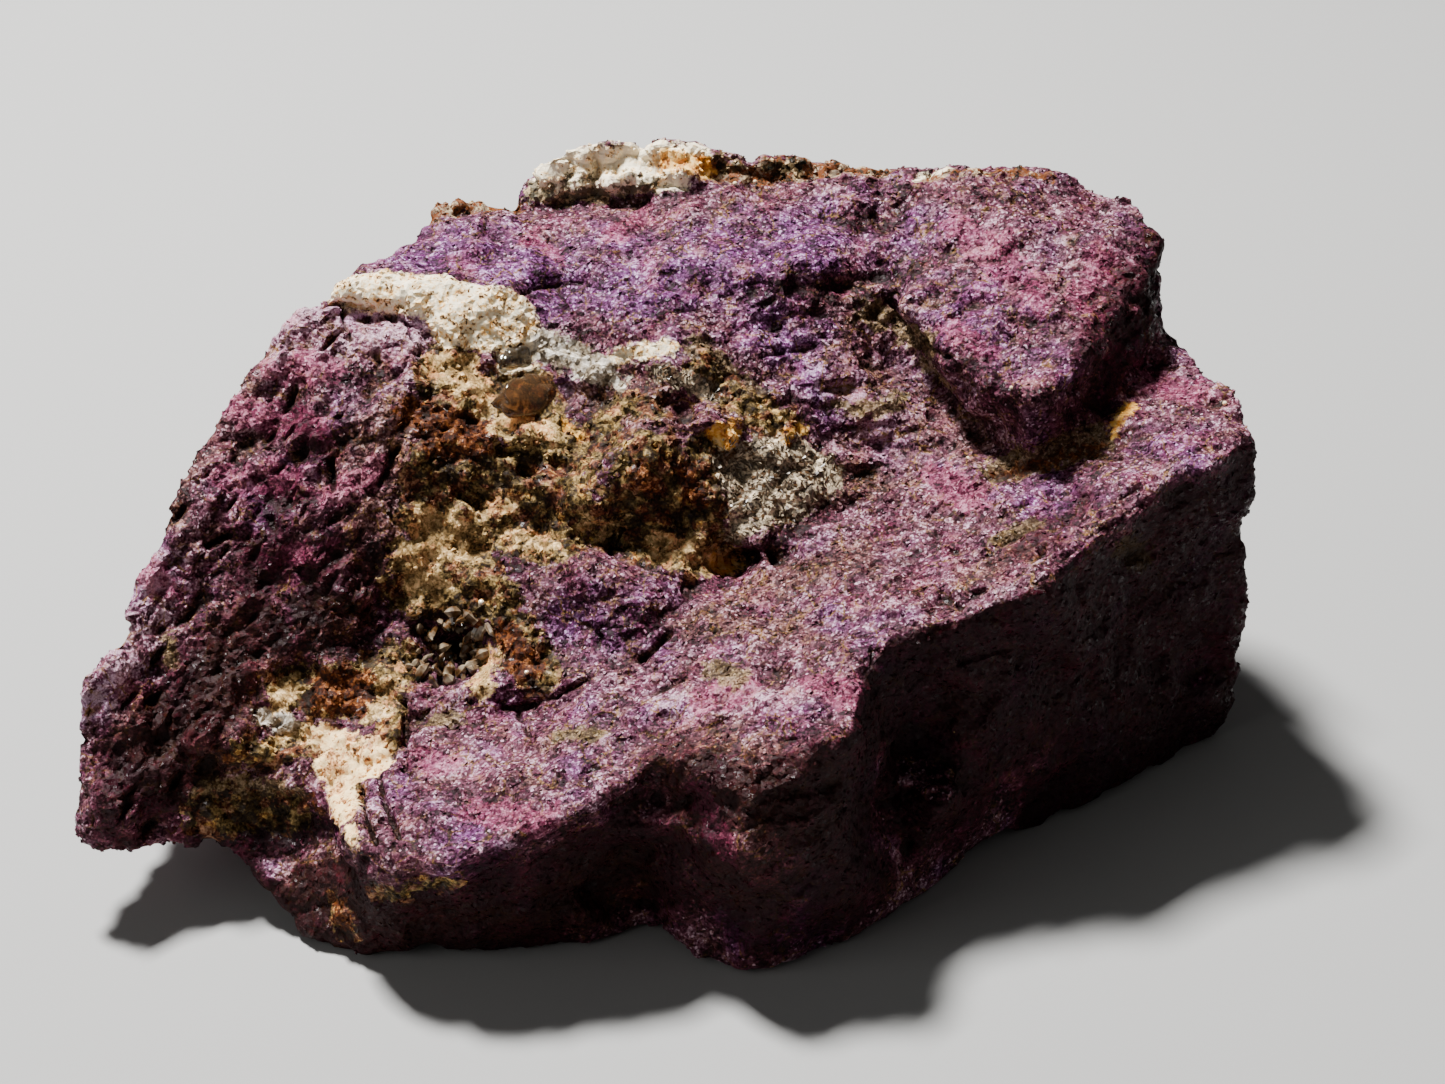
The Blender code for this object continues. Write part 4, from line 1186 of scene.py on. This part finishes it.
def scatter_tree(name, shapes, material):
    """Geometry Nodes that strew shapes over a surface, each with its own size, lean and tint."""
    tree = bpy.data.node_groups.new(name, "GeometryNodeTree")
    for label, (kind, usual) in SCATTER_INPUTS.items():
        socket = tree.interface.new_socket(label, in_out="INPUT", socket_type="NodeSocket" + kind)
        if usual is not None:
            socket.default_value = usual
    tree.interface.new_socket("Strewn", in_out="OUTPUT", socket_type="NodeSocketGeometry")
    given = tree.nodes.new("NodeGroupInput").outputs
    seed, lean, twist = (given[label] for label in ("Seed", "Lean", "Twist"))

    def add(kind, settings=None, **inputs):
        return add_node(tree, kind, settings, **inputs)

    def math_of(operation, *values):
        return operate(tree, "ShaderNodeMath", operation, values)

    def three(across, along, up):
        return result(add("ShaderNodeCombineXYZ", X=across, Y=along, Z=up))

    def chance(kind, low, high, seed_step):
        """A random value between two others, one of its own at each point."""
        own_seed = math_of("ADD", seed, seed_step)
        return result(add("FunctionNodeRandomValue", {"data_type": kind}, Min=low, Max=high, Seed=own_seed))

    share = add("GeometryNodeInputNamedAttribute", {"data_type": "FLOAT"}, Name=given["Where"])
    density = math_of("MULTIPLY", result(share), given["Pieces per square metre"])
    points = add("GeometryNodeDistributePointsOnFaces", Mesh=given["Ground"], Density=density, Seed=seed)
    less_lean, less_twist = (math_of("MULTIPLY", value, -1.0) for value in (lean, twist))
    turn = chance("FLOAT_VECTOR", three(less_lean, less_lean, less_twist), three(lean, lean, twist), 1)
    along_grain = add(
        "FunctionNodeAlignRotationToVector", {"axis": "X", "pivot_axis": "Z"},
        Vector=STREAK, Rotation=points.outputs["Rotation"],
    )
    turned = add(
        "FunctionNodeRotateRotation", {"rotation_space": "LOCAL"},
        Rotation=result(along_grain), Rotate_By=turn,
    )
    size = chance("FLOAT", given["Smallest"], given["Largest"], 2)
    pile = add("GeometryNodeJoinGeometry")
    for shape in shapes:
        source = add("GeometryNodeObjectInfo", Object=shape)
        single = add("GeometryNodeGeometryToInstance", Geometry=source.outputs["Geometry"])
        set_inputs(tree, pile, {"Geometry": result(single)})
    strew = add(
        "GeometryNodeInstanceOnPoints", Points=points.outputs["Points"], Instance=result(pile),
        Pick_Instance=True, Rotation=result(turned), Scale=size,
    )
    mark = add(
        "GeometryNodeStoreNamedAttribute", {"data_type": "FLOAT", "domain": "INSTANCE"},
        Geometry=result(strew), Name="tint", Value=chance("FLOAT", DARKEST, LIGHTEST, 3),
    )
    real = add("GeometryNodeRealizeInstances", Geometry=result(mark))
    coat = add("GeometryNodeSetMaterial", Geometry=result(real), Material=material)
    add("NodeGroupOutput", Strewn=result(coat))
    return tree


def dress(piece):
    """Puts a finished piece on the stone's body."""
    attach(piece, "root")


def strewn(name, ground, shapes, material, **settings):
    """A piece made of shapes strewn over the ground, as a plain mesh."""
    piece = placed(name, ground.data.copy())
    modifier = piece.modifiers.new("strew", "NODES")
    tree = scatter_tree(name, shapes, material)
    modifier.node_group = tree
    sockets = {item.name: item.identifier for item in tree.interface.items_tree if item.in_out == "INPUT"}
    for label, value in settings.items():
        modifier[sockets[label.replace("_", " ")]] = value
    settle(piece)
    move_points(piece.data, kept_in_box(points_of(piece.data)))
    dress(piece)


def build_stone():
    """The stone itself, and the chips and grains that stand on it, with sizes in metres."""
    stone = stone_copy()
    raise_relief(stone)
    thin_out(stone)
    material = stone_material()
    stone.data.materials.append(material)
    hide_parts("purpurite_stone")
    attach(stone, "root")
    strewn(
        "phosphate_chips", stone, shapes_of(CHIPS, CHIP_FACES), material, Where="chipped", Seed=SEED,
        Pieces_per_square_metre=3.6e6, Smallest=0.0001, Largest=0.00034, Lean=0.4, Twist=1.6,
    )
    strewn(
        "matrix_grains", stone, shapes_of(GRAINS, GRAIN_FACES), material, Where="grainy", Seed=SEED + 10,
        Pieces_per_square_metre=4e6, Smallest=0.00015, Largest=0.00045, Lean=0.6,
    )
    strewn(
        "mica_flakes", stone, shapes_of(FLAKES, CHIP_FACES), mica_material(), Where="flaky", Seed=SEED + 20,
        Pieces_per_square_metre=1.6e7, Smallest=0.00012, Largest=0.00036, Lean=0.5,
    )
    strewn(
        "pit_crystals", stone, crystal_shapes(), smoky_quartz_material(), Where="drusy", Seed=SEED + 30,
        Pieces_per_square_metre=4e6, Smallest=0.0005, Largest=0.0014, Lean=0.7,
    )


# Clear lumps: pixel, half sizes along and across the grain and up, and how far each is sunk, in millimetres
AMBER_LUMP = ((533, 393), (2.2, 1.05, 0.46), 0.24)
SMOKY_LENS = ((516, 357), (1.05, 0.6, 0.35), 0.1)

# White grains set where glints show, their white a painted glint: pixel and size in millimetres
PAINTED_GLINTS = {
    "over the crystal pit": ((481, 603), 0.34),
    "right of the crystal pit": ((527, 673), 0.26),
    "in the crystal pit": ((462, 645), 0.28),
    "left in the crystal pit": ((441, 656), 0.2),
    "low in the crystal pit": ((470, 665), 0.18),
    "crystal pit foot": ((454, 676), 0.16),
    "crystal pit edge": ((428, 636), 0.16),
    "slope foot": ((968, 460), 0.24),
    "heel": ((1225, 405), 0.26),
    "rim": ((735, 185), 0.26),
    "rim right": ((755, 182), 0.22),
    "knob tip": ((1012, 388), 0.2),
    "knob point": ((1032, 396), 0.16),
}


def finish_piece(name, shell, material, smooth):
    """Makes a piece of a shell and its material."""
    mesh = bpy.data.meshes.new(name)
    shell.to_mesh(mesh)
    shell.free()
    mesh.polygons.foreach_set("use_smooth", [smooth] * len(mesh.polygons))
    mesh.materials.append(material)
    dress(placed(name, mesh))


def lump(name, pixel, half_sizes, sunk, material):
    """A rounded lump of mineral set in the stone where it shows at a pixel."""
    middle = Vector(place(*pixel))
    up = STONE_TREE.find_nearest(middle)[1]
    along = (STREAK - up * STREAK.dot(up)).normalized()
    ways = (along, up.cross(along), up)
    shell = bmesh.new()
    bmesh.ops.create_icosphere(shell, subdivisions=4, radius=1.0)
    for corner in shell.verts:
        swell = 1.0 + 1.1 * facets(corner.co + middle, 0.9, 0.9, 0.1, 0.2)
        spot = sum((way * (part * half) for way, part, half in zip(ways, corner.co, half_sizes)), Vector())
        corner.co = (middle - up * sunk + spot * swell) * MM
    finish_piece(name, shell, material, smooth=True)


def build_glass():
    amber = glass_material("amber quartz", colour(170, 130, 92), colour(130, 82, 44), 460.0)
    lump("amber_lump", *AMBER_LUMP, amber)
    smoky = glass_material("smoky lens", colour(150, 138, 120), colour(90, 84, 70), 900.0)
    lump("smoky_lens", *SMOKY_LENS, smoky)


def build_painted_glints():
    """Small white grains, each a painted glint where one shows."""
    shell = bmesh.new()
    for pixel, size in PAINTED_GLINTS.values():
        middle = Vector(place(*pixel))
        up = STONE_TREE.find_nearest(middle)[1]
        made = bmesh.ops.create_icosphere(shell, subdivisions=2, radius=size / 2)
        for corner in made["verts"]:
            swell = 1.0 + 0.8 * facets(corner.co + middle, 0.2, 0.6)
            corner.co = (middle + up * (size * 0.45) + corner.co * swell) * MM
    finish_piece("quartz_sparks", shell, painted_glint_material(), smooth=False)


def build_camera():
    camera = bpy.data.cameras.new("camera")
    camera.lens = camera.sensor_width / 2 / math.tan(math.radians(FIELD_OF_VIEW_DEG / 2))
    camera.clip_start = 10 * MM
    holder = placed("camera", camera)
    holder.location = EYE * MM
    holder.rotation_euler = (math.radians(90) - DIP, 0.0, 0.0)
    bpy.context.scene.camera = holder


def build_floor():
    half = 1.5
    corners = [(-half, -half, 0), (half, -half, 0), (half, half, 0), (-half, half, 0)]
    floor = placed("floor", mesh_of("floor", corners, [(0, 1, 2, 3)]))
    floor.data.materials.append(Paint("pale floor").finish(Base_Color=colour(157, 156, 154), Roughness=0.85))


def soft_light(name, spot, size, power):
    """A square soft light at a spot in millimetres, turned to the stone."""
    lamp = bpy.data.lights.new(name, "AREA")
    lamp.size = size * MM
    lamp.energy = power
    holder = placed(name, lamp)
    holder.location = Vector(spot) * MM
    holder.rotation_euler = (SIGHT_CENTRE - Vector(spot)).to_track_quat("-Z", "Y").to_euler()


def build_lights():
    soft_light("key", (-100.0, 120.0, 320.0), 50.0, 5.2)
    soft_light("fill", (-320.0, -160.0, 220.0), 260.0, 0.26)
    world = bpy.data.worlds.new("studio")
    world.use_nodes = True
    sky = {"Color": (1.0, 1.0, 1.0, 1.0), "Strength": 0.08}
    set_inputs(world.node_tree, world.node_tree.nodes["Background"], sky)
    bpy.context.scene.world = world


build_camera()
noise.seed_set(SEED)
build_stone()
build_glass()
build_painted_glints()
build_floor()
build_lights()
